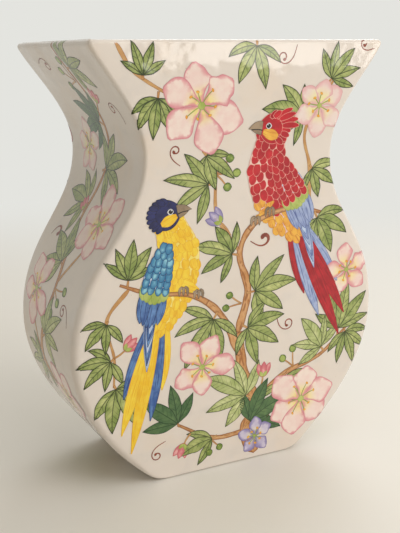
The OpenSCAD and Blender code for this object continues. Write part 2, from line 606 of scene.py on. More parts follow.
@dataclass
class SlabShell:
    """The front or back slab: a flat slab cut to the outline, its edges rubbed round."""

    panel: SlabPanel
    columns: int = 36
    edge_steps: int = 7
    seam_steps: int = 4
    row_drop: float = 0.6
    crease: float = 50.0

    def build(self, material: bpy.types.Material) -> bpy.types.Object:
        """Makes the slab and hides the solid that it stands for.

        Args:
            material: The glaze.

        Returns:
            The slab's object.
        """
        form = self.panel.form
        rows = form.mesh_rows()
        side, out = form.points[rows], form.normals[rows]
        share = np.linspace(1, -1, self.columns)
        inner_columns = share[1:-1]
        border = np.concatenate(
            [
                side,
                np.stack([inner_columns * side[-1, 0], np.full(inner_columns.size, side[-1, 1])], axis=1),
                side[::-1] * (-1, 1),
                np.stack([-inner_columns * side[0, 0], np.zeros(inner_columns.size)], axis=1),
            ]
        )
        top = np.tile((0.0, 1.0), (inner_columns.size, 1))
        normal = np.concatenate([out, top, out[::-1] * (-1, 1), -top])
        side_r = form.edge_radius(side[:, 1])
        lip = np.full(inner_columns.size, form.lip_r)
        outer_r = np.concatenate([side_r, lip, side_r[::-1], np.full(inner_columns.size, form.foot_r)])
        seam = np.zeros(side.shape[0])
        inner_r = np.concatenate([seam, lip, seam, np.zeros(inner_columns.size)])
        thickness = form.slab_t - form.glaze_inset

        rings = []
        for turn in np.linspace(0, math.pi / 2, self.edge_steps + 1):
            rings.append((outer_r * (1 - math.sin(turn)), outer_r * (1 - math.cos(turn))))
        for turn in np.linspace(0, math.pi / 2, self.seam_steps + 1):
            rings.append((inner_r * (1 - math.cos(turn)), thickness - inner_r * (1 - math.sin(turn))))
        ring_points = [self._at(border - inset[:, None] * normal, depth) for inset, depth in rings]

        count = border.shape[0]
        points = list(np.concatenate(ring_points))
        faces = [tuple(reversed(f)) for f in grid_faces(len(rings), count, wrap=True)]
        for ring, outward in ((0, True), (len(rings) - 1, False)):
            inset, depth = rings[ring]
            edge = (border - inset[:, None] * normal)[: side.shape[0]]
            crest = (border - inset[:, None] * normal)[side.shape[0], 1]
            steps_down = np.arange(side.shape[0])[::-1]
            level = np.minimum(edge[:, 1], crest - self.row_drop * steps_down)
            level[0] = edge[0, 1]
            sheet = np.full((side.shape[0], self.columns), -1)
            last = side.shape[0] - 1
            sheet[:, 0] = ring * count + np.arange(side.shape[0])
            sheet[:, -1] = ring * count + side.shape[0] + inner_columns.size + steps_down
            sheet[last, 1:-1] = ring * count + side.shape[0] + np.arange(inner_columns.size)
            sheet[0, 1:-1] = ring * count + count - 1 - np.arange(inner_columns.size)
            for row in range(1, last):
                across = inner_columns * edge[row, 0]
                flat = np.stack([across, np.full(across.size, level[row])], axis=1)
                sheet[row, 1:-1] = len(points) + np.arange(inner_columns.size)
                points.extend(self._at(flat, np.full(inner_columns.size, depth[row])))
            for row in range(last):
                for column in range(self.columns - 1):
                    quad = (
                        sheet[row, column],
                        sheet[row + 1, column],
                        sheet[row + 1, column + 1],
                        sheet[row, column + 1],
                    )
                    faces.append(quad if outward else quad[::-1])
        name = f"{self.panel.name}_slab"
        piece = mesh_piece(f"{name}_glazed", np.array(points), faces, material, crease=self.crease)
        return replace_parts(piece, name)

    def _at(self, flat: Array, depth: Array) -> Array:
        """Places points behind the face.

        Args:
            flat: Points as x from the middle and height.
            depth: How far behind the face they lie.

        Returns:
            The points in the vase's frame.
        """
        panel = self.panel
        outside = panel.form.nearest(np.abs(flat))[1]
        y = -(panel.face(flat[:, 0], flat[:, 1], outside) - depth)
        return np.stack([panel.facing * flat[:, 0], panel.facing * y, flat[:, 1]], axis=1)


@dataclass
class StripShell:
    """A side strip: a band of even thickness bent along the outline, round at its upper edge."""

    panel: StripPanel
    columns: int = 26
    lip_steps: int = 8
    crease: float = 50.0

    def build(self, material: bpy.types.Material) -> bpy.types.Object:
        """Makes the strip and hides the solid that it stands for.

        Args:
            material: The glaze.

        Returns:
            The strip's object.
        """
        form, panel = self.panel.form, self.panel
        rows = form.mesh_rows()
        rim_r = form.strip_t / 2
        centre = np.array([form.rim_w / 2 - rim_r, form.height - rim_r])
        lip = []
        for turn in np.linspace(90, 180 - form.flare_lean, self.lip_steps)[1:-1]:
            lip.append(centre + rim_r * unit(turn))
        below_lip = rows[form.points[rows, 1] < centre[1] - rim_r * math.sin(math.radians(form.flare_lean))]
        thickness = form.strip_t - form.glaze_inset
        inner = (form.points[below_lip] - thickness * form.normals[below_lip])[::-1]
        inner[-1, 1] = thickness
        share = np.linspace(-1, 1, self.columns)
        points: list[Array] = []
        whole_row = np.ones(share.size)
        for row in rows:
            across = share * form.half_gap(form.points[row, 1])
            points.extend(panel.place(np.stack([across, form.run[row] * whole_row], axis=1), 0.0))
        for x, z in [*lip, *inner]:
            across = share * form.half_gap(z)
            points.extend(np.stack([panel.side * x * whole_row, panel.side * across, z * whole_row], axis=1))
        loops = rows.size + len(lip) + inner.shape[0]
        faces = grid_faces(loops, self.columns)
        end = (loops - 1) * self.columns
        faces += [(end + c, end + c + 1, c + 1, c) for c in range(self.columns - 1)]
        faces += self._ends(rows.size, len(lip), inner.shape[0])
        name = f"{panel.name}_strip"
        piece = mesh_piece(f"{name}_glazed", np.array(points), faces, material, crease=self.crease)
        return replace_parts(piece, name)

    def _ends(self, outer: int, lip: int, inner: int) -> list[tuple[int, ...]]:
        """Closes the strip's two ends, where it butts on the slabs.

        Args:
            outer: Rows on the outer face.
            lip: Rows round the upper edge.
            inner: Rows on the inner face.

        Returns:
            The corner numbers of the ends' faces.
        """
        loops = outer + lip + inner
        paired = min(outer, inner) - 1
        faces: list[tuple[int, ...]] = []
        for column, outward in ((0, True), (self.columns - 1, False)):
            ring = [row * self.columns + column for row in range(loops)]
            quads = [(ring[k], ring[k + 1], ring[loops - 2 - k], ring[loops - 1 - k]) for k in range(paired)]
            crown = tuple(ring[paired : loops - paired])
            for quad in [*quads, crown]:
                faces.append(quad if outward else quad[::-1])
        return faces


# ---------------------------------------------------------------------------------------------
# Finishes

MATH = "ShaderNodeMath"
MIX = "ShaderNodeMix"
RANGE = "ShaderNodeMapRange"  # inputs 1 and 2 are its limits, 3 and 4 what they turn into
COLOUR = {"data_type": "RGBA"}
EASED = {"interpolation_type": "SMOOTHSTEP"}


@dataclass(frozen=True)
class Fired:
    """What every finish here has: a colour, a gloss, and the low relief of a fired surface."""

    name: str
    roughness: float = 0.09
    ior: float = 1.52
    relief_mm: float = 21.0
    relief_height_mm: float = 0.26
    pinch_from: float = 300.0
    pinch_to: float = 330.0
    pinch_gain: float = 3.2

    def material(self) -> bpy.types.Material:
        """Makes the finish's material.

        Returns:
            The material.
        """
        made = bpy.data.materials.new(self.name)
        made.use_nodes = True
        tree = made.node_tree
        tree.nodes.clear()
        height = {"Height": self.relief(tree), "Distance": self.relief_height_mm * MM}
        surface = {
            "Base Color": self.colour(tree),
            "Roughness": self.roughness,
            "IOR": self.ior,
            "Normal": node(tree, "ShaderNodeBump", inputs=height),
        }
        shader = node(tree, "ShaderNodeBsdfPrincipled", inputs=surface)
        node(tree, "ShaderNodeOutputMaterial", inputs={"Surface": shader})
        return made

    def relief(self, tree: bpy.types.NodeTree) -> bpy.types.Node:
        """Adds the height that the light picks out: slow waves, deeper where the rim was pinched.

        Args:
            tree: The material's node tree.

        Returns:
            The height's node.
        """
        middle = node(tree, "ShaderNodeTexCoord").outputs["Object"]
        place = node(tree, "ShaderNodeSeparateXYZ", inputs={"Vector": middle})
        limits = {1: self.pinch_from * MM, 2: self.pinch_to * MM, 3: 1.0, 4: self.pinch_gain}
        gain = node(tree, RANGE, EASED, {"Value": place.outputs["Z"], **limits})
        waves = self.cloud(tree, self.relief_mm, 2.2)
        return node(tree, MATH, {"operation": "MULTIPLY"}, {0: waves, 1: gain})

    def colour(self, tree: bpy.types.NodeTree) -> bpy.types.Node:
        """Adds the nodes of the colour.

        Args:
            tree: The material's node tree.

        Returns:
            The last of them.
        """
        raise NotImplementedError

    @staticmethod
    def cloud(tree: bpy.types.NodeTree, size_mm: float, detail: float) -> bpy.types.Node:
        """Adds a soft random field over the surface.

        Args:
            tree: The material's node tree.
            size_mm: How far apart its patches lie.
            detail: How much finer structure it has.

        Returns:
            The field's node.
        """
        place = node(tree, "ShaderNodeTexCoord").outputs["Object"]
        field_inputs = {"Vector": place, "Scale": 1 / (size_mm * MM), "Detail": detail}
        return node(tree, "ShaderNodeTexNoise", inputs=field_inputs)


@dataclass(frozen=True)
class IvoryGlaze(Fired):
    """Glazed earthenware: ivory slip brushed on the clay, fired under a clear gloss glaze.

    The brushed slip gives a faint warm and cool mottle over some 45 mm, iron in the clay a few
    specks below a millimetre, and the poured glaze slow waves that bend what it mirrors.
    """

    slip: str = "#e4dbd3"
    warm: str = "#e4d6c8"
    cool: str = "#dad3cd"
    iron: str = "#9c8468"
    mottle_mm: float = 45.0
    speck_gap_mm: float = 8.0

    def colour(self, tree: bpy.types.NodeTree) -> bpy.types.Node:
        """Adds the slip's colour: two mottles over the plain slip, then the specks.

        Args:
            tree: The material's node tree.

        Returns:
            The colour's node.
        """
        broad = self.cloud(tree, self.mottle_mm, 3.0)
        broad = node(tree, RANGE, EASED, {"Value": broad, 1: 0.5, 2: 0.72, 4: 0.75})
        finer = self.cloud(tree, 0.37 * self.mottle_mm, 4.0)
        finer = node(tree, RANGE, EASED, {"Value": finer, 1: 0.5, 2: 0.75, 4: 0.6})
        tone = node(tree, MIX, COLOUR, {"Factor": broad, "A": linear(self.slip), "B": linear(self.warm)})
        tone = node(tree, MIX, COLOUR, {"Factor": finer, "A": tone, "B": linear(self.cool)})
        place = node(tree, "ShaderNodeTexCoord").outputs["Object"]
        spacing = {"Vector": place, "Scale": 1 / (self.speck_gap_mm * MM)}
        cells = node(tree, "ShaderNodeTexVoronoi", inputs=spacing)
        pick = node(tree, "ShaderNodeSeparateColor", inputs={"Color": cells.outputs["Color"]})
        rare = node(tree, MATH, {"operation": "GREATER_THAN"}, {0: pick, 1: 0.8})
        dot = node(tree, RANGE, EASED, {"Value": cells.outputs["Distance"], 1: 0.03, 2: 0.08, 3: 0.5, 4: 0.0})
        speck = node(tree, MATH, {"operation": "MULTIPLY"}, {0: rare, 1: dot})
        return node(tree, MIX, COLOUR, {"Factor": speck, "A": tone, "B": linear(self.iron)})


@dataclass(frozen=True)
class SmearedGlaze(IvoryGlaze):
    """The same glaze over clay that a finger smeared along the seam, so it ripples every 5 mm."""

    relief_mm: float = 5.0
    relief_height_mm: float = 0.45


@dataclass(frozen=True)
class BareClay(Fired):
    """Fired buff earthenware, left unglazed where the vase stands on the kiln shelf.

    It is matt and dry, and its grog of about 1.4 mm shows as paler grains.
    """

    roughness: float = 0.86
    relief_mm: float = 1.4
    relief_height_mm: float = 0.25
    buff: str = "#c69d78"
    dark: str = "#ab7f5a"
    pale: str = "#dcc2a2"
    patch_mm: float = 26.0

    def colour(self, tree: bpy.types.NodeTree) -> bpy.types.Node:
        """Adds the clay's colour: broad patches from the kiln, then the pale grains.

        Args:
            tree: The material's node tree.

        Returns:
            The colour's node.
        """
        patch = node(tree, RANGE, EASED, {"Value": self.cloud(tree, self.patch_mm, 3.0), 1: 0.35, 2: 0.65})
        grain = self.cloud(tree, self.relief_mm, 2.0)
        grain = node(tree, RANGE, EASED, {"Value": grain, 1: 0.56, 2: 0.7, 4: 0.7})
        body = node(tree, MIX, COLOUR, {"Factor": patch, "A": linear(self.buff), "B": linear(self.dark)})
        return node(tree, MIX, COLOUR, {"Factor": grain, "A": body, "B": linear(self.pale)})


class Marking(Enum):
    """What the brush adds within a stroke of colour."""

    PLAIN = "plain"
    VEINS = "veins"
    BARBS = "barbs"
    BARK = "bark"
    POOLED = "pooled"


@dataclass(frozen=True)
class Underglaze(Fired):
    """A ceramic underglaze colour, brushed on the slip and fired under the clear glaze.

    It is thin where the brush was dry and full where it pooled, so its tone drifts over some
    7 mm, and a drawn or pooled rim follows the stroke's edge.
    """

    thin: str = "#b9c56b"
    full: str = "#6f8f42"
    rim: str = "#33441f"
    rim_mm: float = 0.7
    rim_strength: float = 1.0
    marking: Marking = Marking.PLAIN
    mark: str = "#3f5426"
    heart: str = ""
    heart_mm: float = 9.0
    wash_mm: float = 7.0
    vein_gap_mm: float = 4.6
    barb_mm: tuple[float, float] = (16.0, 0.9)
    furrow_mm: tuple[float, float] = (7.0, 1.5)

    def colour(self, tree: bpy.types.NodeTree) -> bpy.types.Node:
        """Adds the washed colour, its marking and its rim, from the stroke's two maps.

        The map "along" holds the millimetres along the stroke and across it, and "edge" the
        millimetres from its edge and a tone that is the stroke's own.

        Args:
            tree: The material's node tree.

        Returns:
            The colour's node.
        """
        along = node(tree, "ShaderNodeUVMap", {"uv_map": "along"})
        edge = node(tree, "ShaderNodeUVMap", {"uv_map": "edge"})
        way = node(tree, "ShaderNodeSeparateXYZ", inputs={"Vector": along})
        rim = node(tree, "ShaderNodeSeparateXYZ", inputs={"Vector": edge})
        wash = self.cloud(tree, self.wash_mm, 3.0)
        watery = node(tree, RANGE, EASED, {"Value": wash, 1: 0.34, 2: 0.66})
        half = node(tree, MATH, {"operation": "MULTIPLY"}, {0: watery, 1: 0.55})
        tone = node(tree, MATH, {"operation": "MULTIPLY_ADD"}, {0: rim.outputs["Y"], 1: 0.5, 2: half})
        shade = node(tree, MIX, COLOUR, {"Factor": tone, "A": linear(self.thin), "B": linear(self.full)})
        if self.heart:
            limits = {"Value": way.outputs["X"], 1: 0.15 * self.heart_mm, 2: self.heart_mm, 3: 1.0, 4: 0.0}
            near = node(tree, RANGE, EASED, limits)
            inside = node(tree, RANGE, EASED, {"Value": rim.outputs["X"], 1: 0.3, 2: 2.2})
            glow = node(tree, MATH, {"operation": "MULTIPLY"}, {0: near, 1: inside})
            shade = node(tree, MIX, COLOUR, {"Factor": glow, "A": shade, "B": linear(self.heart)})
        if self.marking is Marking.VEINS:
            shade = self._veins(tree, shade, way, rim, watery)
        elif self.marking is Marking.POOLED:
            shade = self._pooled(tree, shade, rim, watery)
        elif self.marking is not Marking.PLAIN:
            shade = self._streaks(tree, shade, way, rim)
        rim_width = {0: wash, 1: self.rim_mm, 2: 0.35 * self.rim_mm}
        wobble = node(tree, MATH, {"operation": "MULTIPLY_ADD"}, rim_width)
        inner = node(tree, MATH, {"operation": "MULTIPLY"}, {0: wobble, 1: 0.55})
        limits = {"Value": rim.outputs["X"], 1: inner, 2: wobble, 3: self.rim_strength, 4: 0.0}
        drawn = node(tree, RANGE, EASED, limits)
        return node(tree, MIX, COLOUR, {"Factor": drawn, "A": shade, "B": linear(self.rim)})

    def _veins(
        self,
        tree: bpy.types.NodeTree,
        shade: bpy.types.Node,
        way: bpy.types.Node,
        rim: bpy.types.Node,
        watery: bpy.types.Node,
    ) -> bpy.types.Node:
        """Draws a midrib and slanting side veins, and darkens the edge and one half of the leaf.

        Args:
            tree: The material's node tree.
            shade: The washed colour.
            way: Millimetres along the stroke and across it.
            rim: Millimetres from the edge, and the stroke's tone.
            watery: The slow change of tone.

        Returns:
            The veined colour.
        """
        across = node(tree, MATH, {"operation": "ABSOLUTE"}, {0: way.outputs["Y"]})
        slant = node(tree, MATH, {"operation": "MULTIPLY_ADD"}, {0: across, 1: -1.05, 2: way.outputs["X"]})
        turns = node(tree, MATH, {"operation": "DIVIDE"}, {0: slant, 1: self.vein_gap_mm})
        part = node(tree, MATH, {"operation": "FRACT"}, {0: turns})
        centred = node(tree, MATH, {"operation": "SUBTRACT"}, {0: part, 1: 0.5})
        off = node(tree, MATH, {"operation": "ABSOLUTE"}, {0: centred})
        thin_line = node(tree, RANGE, EASED, {"Value": off, 1: 0.03, 2: 0.13, 3: 1.0, 4: 0.0})
        faint = node(tree, MATH, {"operation": "MULTIPLY_ADD"}, {0: watery, 1: 0.6, 2: 0.2})
        side_veins = node(tree, MATH, {"operation": "MULTIPLY"}, {0: thin_line, 1: faint})
        midrib = node(tree, RANGE, EASED, {"Value": across, 1: 0.22, 2: 0.65, 3: 0.9, 4: 0.0})
        near_edge = node(tree, RANGE, EASED, {"Value": rim.outputs["X"], 1: 0.5, 2: 3.8, 3: 0.5, 4: 0.0})
        far_half = node(tree, RANGE, EASED, {"Value": way.outputs["Y"], 1: -0.3, 2: 1.2, 3: 0.0, 4: 0.45})
        darker = node(tree, MATH, {"operation": "MAXIMUM"}, {0: near_edge, 1: far_half})
        deep = node(tree, MIX, COLOUR, {"Factor": darker, "A": shade, "B": linear(self.full)})
        lines = node(tree, MATH, {"operation": "MAXIMUM"}, {0: side_veins, 1: midrib})
        return node(tree, MIX, COLOUR, {"Factor": lines, "A": deep, "B": linear(self.mark)})

    def _pooled(
        self, tree: bpy.types.NodeTree, shade: bpy.types.Node, rim: bpy.types.Node, watery: bpy.types.Node
    ) -> bpy.types.Node:
        """Lets the colour gather towards the stroke's edge, as it does when a wet petal dries.

        Args:
            tree: The material's node tree.
            shade: The washed colour.
            rim: Millimetres from the edge, and the stroke's tone.
            watery: The slow change of tone.

        Returns:
            The pooled colour.
        """
        breadth = node(tree, MATH, {"operation": "MULTIPLY_ADD"}, {0: watery, 1: 4.6, 2: 1.8})
        limits = {"Value": rim.outputs["X"], 1: 0.3, 2: breadth, 3: 0.95, 4: 0.0}
        gathered = node(tree, RANGE, EASED, limits)
        return node(tree, MIX, COLOUR, {"Factor": gathered, "A": shade, "B": linear(self.mark)})

    def _streaks(
        self, tree: bpy.types.NodeTree, shade: bpy.types.Node, way: bpy.types.Node, rim: bpy.types.Node
    ) -> bpy.types.Node:
        """Drags fine lines along the stroke: barbs in a feather, or furrows in bark.

        Args:
            tree: The material's node tree.
            shade: The washed colour.
            way: Millimetres along the stroke and across it.
            rim: Millimetres from the edge, and the stroke's tone.

        Returns:
            The streaked colour.
        """
        length, width = self.barb_mm if self.marking is Marking.BARBS else self.furrow_mm
        lane = node(tree, MATH, {"operation": "DIVIDE"}, {0: way.outputs["X"], 1: length})
        beside = node(tree, MATH, {"operation": "DIVIDE"}, {0: way.outputs["Y"], 1: width})
        own = node(tree, MATH, {"operation": "MULTIPLY"}, {0: rim.outputs["Y"], 1: 40.0})
        place = node(tree, "ShaderNodeCombineXYZ", inputs={"X": lane, "Y": beside, "Z": own})
        lines = node(tree, "ShaderNodeTexNoise", inputs={"Vector": place, "Scale": 1.0, "Detail": 2.0})
        drag = node(tree, RANGE, EASED, {"Value": lines, 1: 0.5, 2: 0.66, 4: 0.85})
        if self.marking is Marking.BARK:
            shadow = node(tree, RANGE, EASED, {"Value": rim.outputs["X"], 1: 0.3, 2: 2.0, 3: 0.7, 4: 0.0})
            drag = node(tree, MATH, {"operation": "MAXIMUM"}, {0: drag, 1: shadow})
        return node(tree, MIX, COLOUR, {"Factor": drag, "A": shade, "B": linear(self.mark)})


def underglaze(
    name: str,
    thin: str,
    full: str,
    rim: str,
    rim_mm: float = 0.6,
    marking: Marking = Marking.PLAIN,
    mark: str = "#3f5426",
    **more: object,
) -> Underglaze:
    """Names a colour of the painter's palette and gives its tones.

    Args:
        name: The colour's name.
        thin: Its tone where the brush was dry.
        full: Its tone where the brush was full.
        rim: The tone of the stroke's edge.
        rim_mm: The width of that edge.
        marking: What the brush adds within the stroke.
        mark: That marking's tone.
        **more: Other values of the finish.

    Returns:
        The colour.
    """
    tones = {"thin": thin, "full": full, "rim": rim, "rim_mm": rim_mm, "marking": marking, "mark": mark}
    return Underglaze(f"underglaze_{name}", **tones, **more)


LEAF = underglaze("leaf_green", "#d2d690", "#7c9146", "#333c1e", 1.05, Marking.VEINS, "#424f26")
DEEP_LEAF = underglaze("deep_green", "#6b8a54", "#3a6038", "#1f3822", 0.8, Marking.VEINS, "#27482a")
PALE_LEAF = underglaze("pale_green", "#dfe2ac", "#a0af68", "#4a542c", 0.95, Marking.VEINS, "#606c38")
BARK = underglaze(
    "ochre_bark", "#dfb482", "#c58a50", "#8a542e", 0.8, Marking.BARK, "#985c2e", rim_strength=0.85
)
TWIG = underglaze("twig_ochre", "#d2a970", "#b9824a", "#8a572c", 0.4, rim_strength=0.7)
PETAL = underglaze(
    "blossom_pink", "#f5e5dc", "#f0d2cc", "#cc7f8a", 0.65, Marking.POOLED, "#dd8f99",
    heart="#f2e08c", heart_mm=15.0, rim_strength=0.7,
)
FADED_PETAL = underglaze(
    "blossom_faded", "#f0e2db", "#ecd3ce", "#d49ba0", 0.6, Marking.POOLED, "#e5b2b5",
    heart="#efe6a4", heart_mm=15.0, rim_strength=0.7,
)
ROSE = underglaze(
    "bud_rose", "#eeb8b6", "#df8a92", "#b6505f", 0.5, Marking.POOLED, "#cf6873",
    heart="#f3d6ac", heart_mm=5.0, rim_strength=0.7,
)
LILAC = underglaze(
    "lilac", "#dcd5e4", "#b9b0d2", "#6f66a0", 0.6, Marking.POOLED, "#8a80b4",
    heart="#ece0b4", heart_mm=9.0, rim_strength=0.8,
)
BLUSH = underglaze("blush_wash", "#f2d9d0", "#eec4ba", "#dc9c96", 0.5)
LEMON = underglaze("lemon_wash", "#fbf0a8", "#f7e06a", "#e8b23c", 0.5)
SKY = underglaze("sky_wash", "#cfdcef", "#a9c1e4", "#5f7dba", 0.5)
CRIMSON = underglaze("crimson", "#d0242f", "#a50f1e", "#f0b7a8", 0.42, rim_strength=0.85)
SCARLET = underglaze(
    "scarlet", "#c8202e", "#9e0f1e", "#760a17", 0.5, Marking.BARBS, "#840b1a", rim_strength=0.7
)
ORANGE = underglaze("orange_yellow", "#f6c94f", "#e69d35", "#bb6f2c", 0.4, rim_strength=0.6)
AMBER = underglaze("amber", "#f5c650", "#e49a38", "#b9682a", 0.5, Marking.BARBS, "#cf7f2e", rim_strength=0.6)
SUN = underglaze(
    "sun_yellow", "#fbe14a", "#f2c01e", "#dc9a1c", 0.5, Marking.BARBS, "#eaae1e", rim_strength=0.6
)
LIME = underglaze("lime", "#c6d07a", "#95aa46", "#6b7f2c", 0.45, rim_strength=0.6)
DUSK = underglaze(
    "dusk_blue", "#b4c3e2", "#8396ca", "#4a5a96", 0.6, Marking.BARBS, "#5364a4", rim_strength=0.8
)
TEAL = underglaze("turquoise", "#9ad2e2", "#4ba0c4", "#173a6b", 0.6, Marking.POOLED, "#2f76a8")
ROYAL = underglaze(
    "royal_blue", "#6f9bd2", "#33599f", "#16285c", 0.6, Marking.BARBS, "#1f3d7c", rim_strength=0.95
)
NAVY = underglaze("navy", "#2b3270", "#171a45", "#0e1030", 0.5)
TENDRIL = underglaze("brown_red", "#a4553f", "#7c3527", "#6b2b20", 0.2, rim_strength=0.5)
BERRY = underglaze("berry_green", "#b3c268", "#7d9840", "#435620", 0.8, Marking.POOLED, "#5f7a30")
CHEEK = underglaze("dove_grey", "#efedec", "#d8dbe2", "#98a0b4", 0.4, rim_strength=0.6)
HORN = underglaze("horn", "#b09a80", "#7c6a56", "#463a30", 0.4, rim_strength=0.9)
INK = underglaze("ink", "#2a2420", "#15120f", "#15120f", 0.2)


# ---------------------------------------------------------------------------------------------
# Brushwork


def bend(start: Sequence[float], angle: float, length: float, turn: float, curl: float = 1.0) -> Array:
    """Draws a line that turns as it goes.

    Args:
        start: Where it starts.
        angle: Its mean direction in degrees, or the first where it curls.
        length: Its length.
        turn: How many degrees it turns on its way.
        curl: 1 for an even bend, and more where it tightens towards the end.

    Returns:
        Points along the line.
    """
    share = np.linspace(0.0, 1.0, BEND_POINTS)
    first = angle - (turn / 2 if curl == 1.0 else 0.0)
    heading = np.radians(first + turn * share**curl)
    steps = length / (BEND_POINTS - 1) * np.stack([np.cos(heading), np.sin(heading)], axis=1)[:-1]
    return np.concatenate([np.zeros((1, 2)), np.cumsum(steps, axis=0)]) + np.asarray(start, float)


class Painting:
    """The brushwork on one wall, gathered colour by colour.

    The lifts are how far a colour stands off the glaze, and how much each colour under it adds.
    """

    samples = 160
    first_lift = 0.06
    layer_lift = 0.045
    least_half = 0.1

    def __init__(self, panel: Panel, seed: int, grain: float = 1.6) -> None:
        """Takes an empty wall.

        Args:
            panel: The wall.
            seed: What sets the hand's small accidents.
            grain: The mesh's spacing in millimetres.
        """
        self.panel = panel
        self.grain = grain
        self.hand = np.random.default_rng(seed)
        self.strokes: dict[Underglaze, list[tuple[Array, Array, Array]]] = {}
        self.faces: dict[Underglaze, list[tuple[int, ...]]] = {}
        self.corners: dict[Underglaze, int] = {}

    def stroke(
        self,
        colour: Underglaze,
        spine: Array | Sequence[Sequence[float]],
        widths: Sequence[float],
        layer: float,
        tone: float | None = None,
    ) -> None:
        """Lays one brushstroke.

        Args:
            colour: The underglaze.
            spine: Points of its middle line, from where the brush lands to where it lifts.
            widths: Half its width at even stations along it.
            layer: How many colours lie under it.
            tone: How full the brush was, from 0 to 1; by chance where it isn't given.
        """
        line = through(spine, self.samples)
        knots = np.stack([np.linspace(0.0, 1.0, len(widths)), widths], axis=1)
        profile = through(knots, 100) if len(widths) > 2 else knots
        grain = self.grain / 2 if self.panel.meets_edge(line, max(widths)) else self.grain
        length = float(np.linalg.norm(np.diff(line, axis=0), axis=1).sum())
        even = np.linspace(0.0, 1.0, max(7, math.ceil(length / grain) + 1))
        share = 0.5 * even + 0.25 * (1 - np.cos(math.pi * even))
        half = np.maximum(np.interp(share, profile[:, 0], profile[:, 1]), self.least_half)
        stations = np.linspace(0, 1, self.samples)
        middle = np.stack([np.interp(share, stations, line[:, k]) for k in (0, 1)], axis=1)
        ahead = np.gradient(middle, axis=0)
        ahead /= np.linalg.norm(ahead, axis=1)[:, None]
        left = np.stack([-ahead[:, 1], ahead[:, 0]], axis=1)
        columns = 2 * max(1, math.ceil(half.max() / grain)) + 1
        across = np.linspace(-1.0, 1.0, columns)
        offset = half[:, None] * across
        flat = middle[:, None, :] + offset[:, :, None] * left[:, None, :]
        run = np.broadcast_to((share * length)[:, None], offset.shape)
        gap = np.minimum(half[:, None] - np.abs(offset), np.minimum(run, length - run))
        own = np.full(offset.shape, self.hand.uniform(0.15, 0.85) if tone is None else tone)
        points = self.panel.place(flat.reshape(-1, 2), self.first_lift + self.layer_lift * layer)
        maps = [np.stack([a.ravel(), b.ravel()], axis=1) for a, b in ((run, offset), (gap, own))]
        start = self.corners.get(colour, 0)
        rows = [tuple(reversed(quad)) for quad in grid_faces(even.size, columns, start)]
        self.faces.setdefault(colour, []).extend(rows)
        self.strokes.setdefault(colour, []).append((points, *maps))
        self.corners[colour] = start + points.shape[0]

    def dab(
        self,
        colour: Underglaze,
        centre: Sequence[float],
        size: Sequence[float],
        layer: float,
        angle: float = 0.0,
    ) -> None:
        """Lays an oval dab.

        Args:
            colour: The underglaze.
            centre: The dab's middle.
            size: Half its length and half its breadth.
            layer: How many colours lie under it.
            angle: The direction of its length in degrees.
        """
        reach = size[0] * unit(angle)
        middle = np.asarray(centre, float)
        round_profile = size[1] * np.sin(np.linspace(0.0, math.pi, 15)) ** 0.62
        self.stroke(colour, [middle - reach, middle, middle + reach], round_profile, layer)

    def dry(self, palette: dict[Underglaze, bpy.types.Material]) -> list[bpy.types.Object]:
        """Makes one mesh for each colour on the wall.

        Args:
            palette: The material of each colour, added to as colours come up.

        Returns:
            The meshes.
        """
        made = []
        for colour, laid in self.strokes.items():
            if colour not in palette:
                palette[colour] = colour.material()
            points, along, edge = (np.concatenate([stroke[k] for stroke in laid]) for k in range(3))
            name = f"{self.panel.name}_painted_{colour.name.removeprefix('underglaze_')}"
            maps = {"along": along, "edge": edge}
            made.append(mesh_piece(name, points, self.faces[colour], palette[colour], maps))
        return made


# ---------------------------------------------------------------------------------------------
# Motifs

# How the breadth of a stroke runs from its root to its tip, as shares of the widest place.
LEAF_SHAPE = np.array([0.12, 0.6, 0.93, 1.0, 0.85, 0.5, 0.03])
BLADE_SHAPE = np.array([0.45, 0.78, 0.95, 1.0, 0.9, 0.6, 0.08])
SCALE_SHAPE = np.array([0.6, 0.92, 1.0, 0.86, 0.3])
PETAL_SHAPE = np.array([0.16, 0.34, 0.7, 1.0, 0.93, 0.66, 0.12])


@dataclass(frozen=True)
class Branch:
    """A branch that thins from one end to the other."""

    way: Sequence[Sequence[float]]
    thick: float = 3.6
    thin: float = 1.2
    layer: float = 0.6
    colour: Underglaze = BARK
    perch: tuple[int, int] | None = None
    perch_layer: float = 4.75

    def paint(self, painting: Painting) -> None:
        """Paints the branch, a little knotty, and again where a bird's belly would hide its perch.

        The perch is the hundredths of the way between which it lies over the belly's feathers
        and under the wing's.

        Args:
            painting: The wall's painting.
        """
        count = 4 * len(self.way)
        taper = np.linspace(self.thick, self.thin, count)
        knots = 1 + 0.16 * painting.hand.uniform(-1, 1, count)
        knots[0] = 0.45
        painting.stroke(self.colour, self.way, taper * knots, self.layer)
        if self.perch:
            first, last = self.perch
            stations = np.linspace(first / 100, last / 100, 9)
            widths = np.interp(stations, np.linspace(0, 1, count), taper * knots)
            stretch = through(self.way, 101)[first : last + 1 : 4]
            painting.stroke(self.colour, stretch, widths, self.perch_layer)


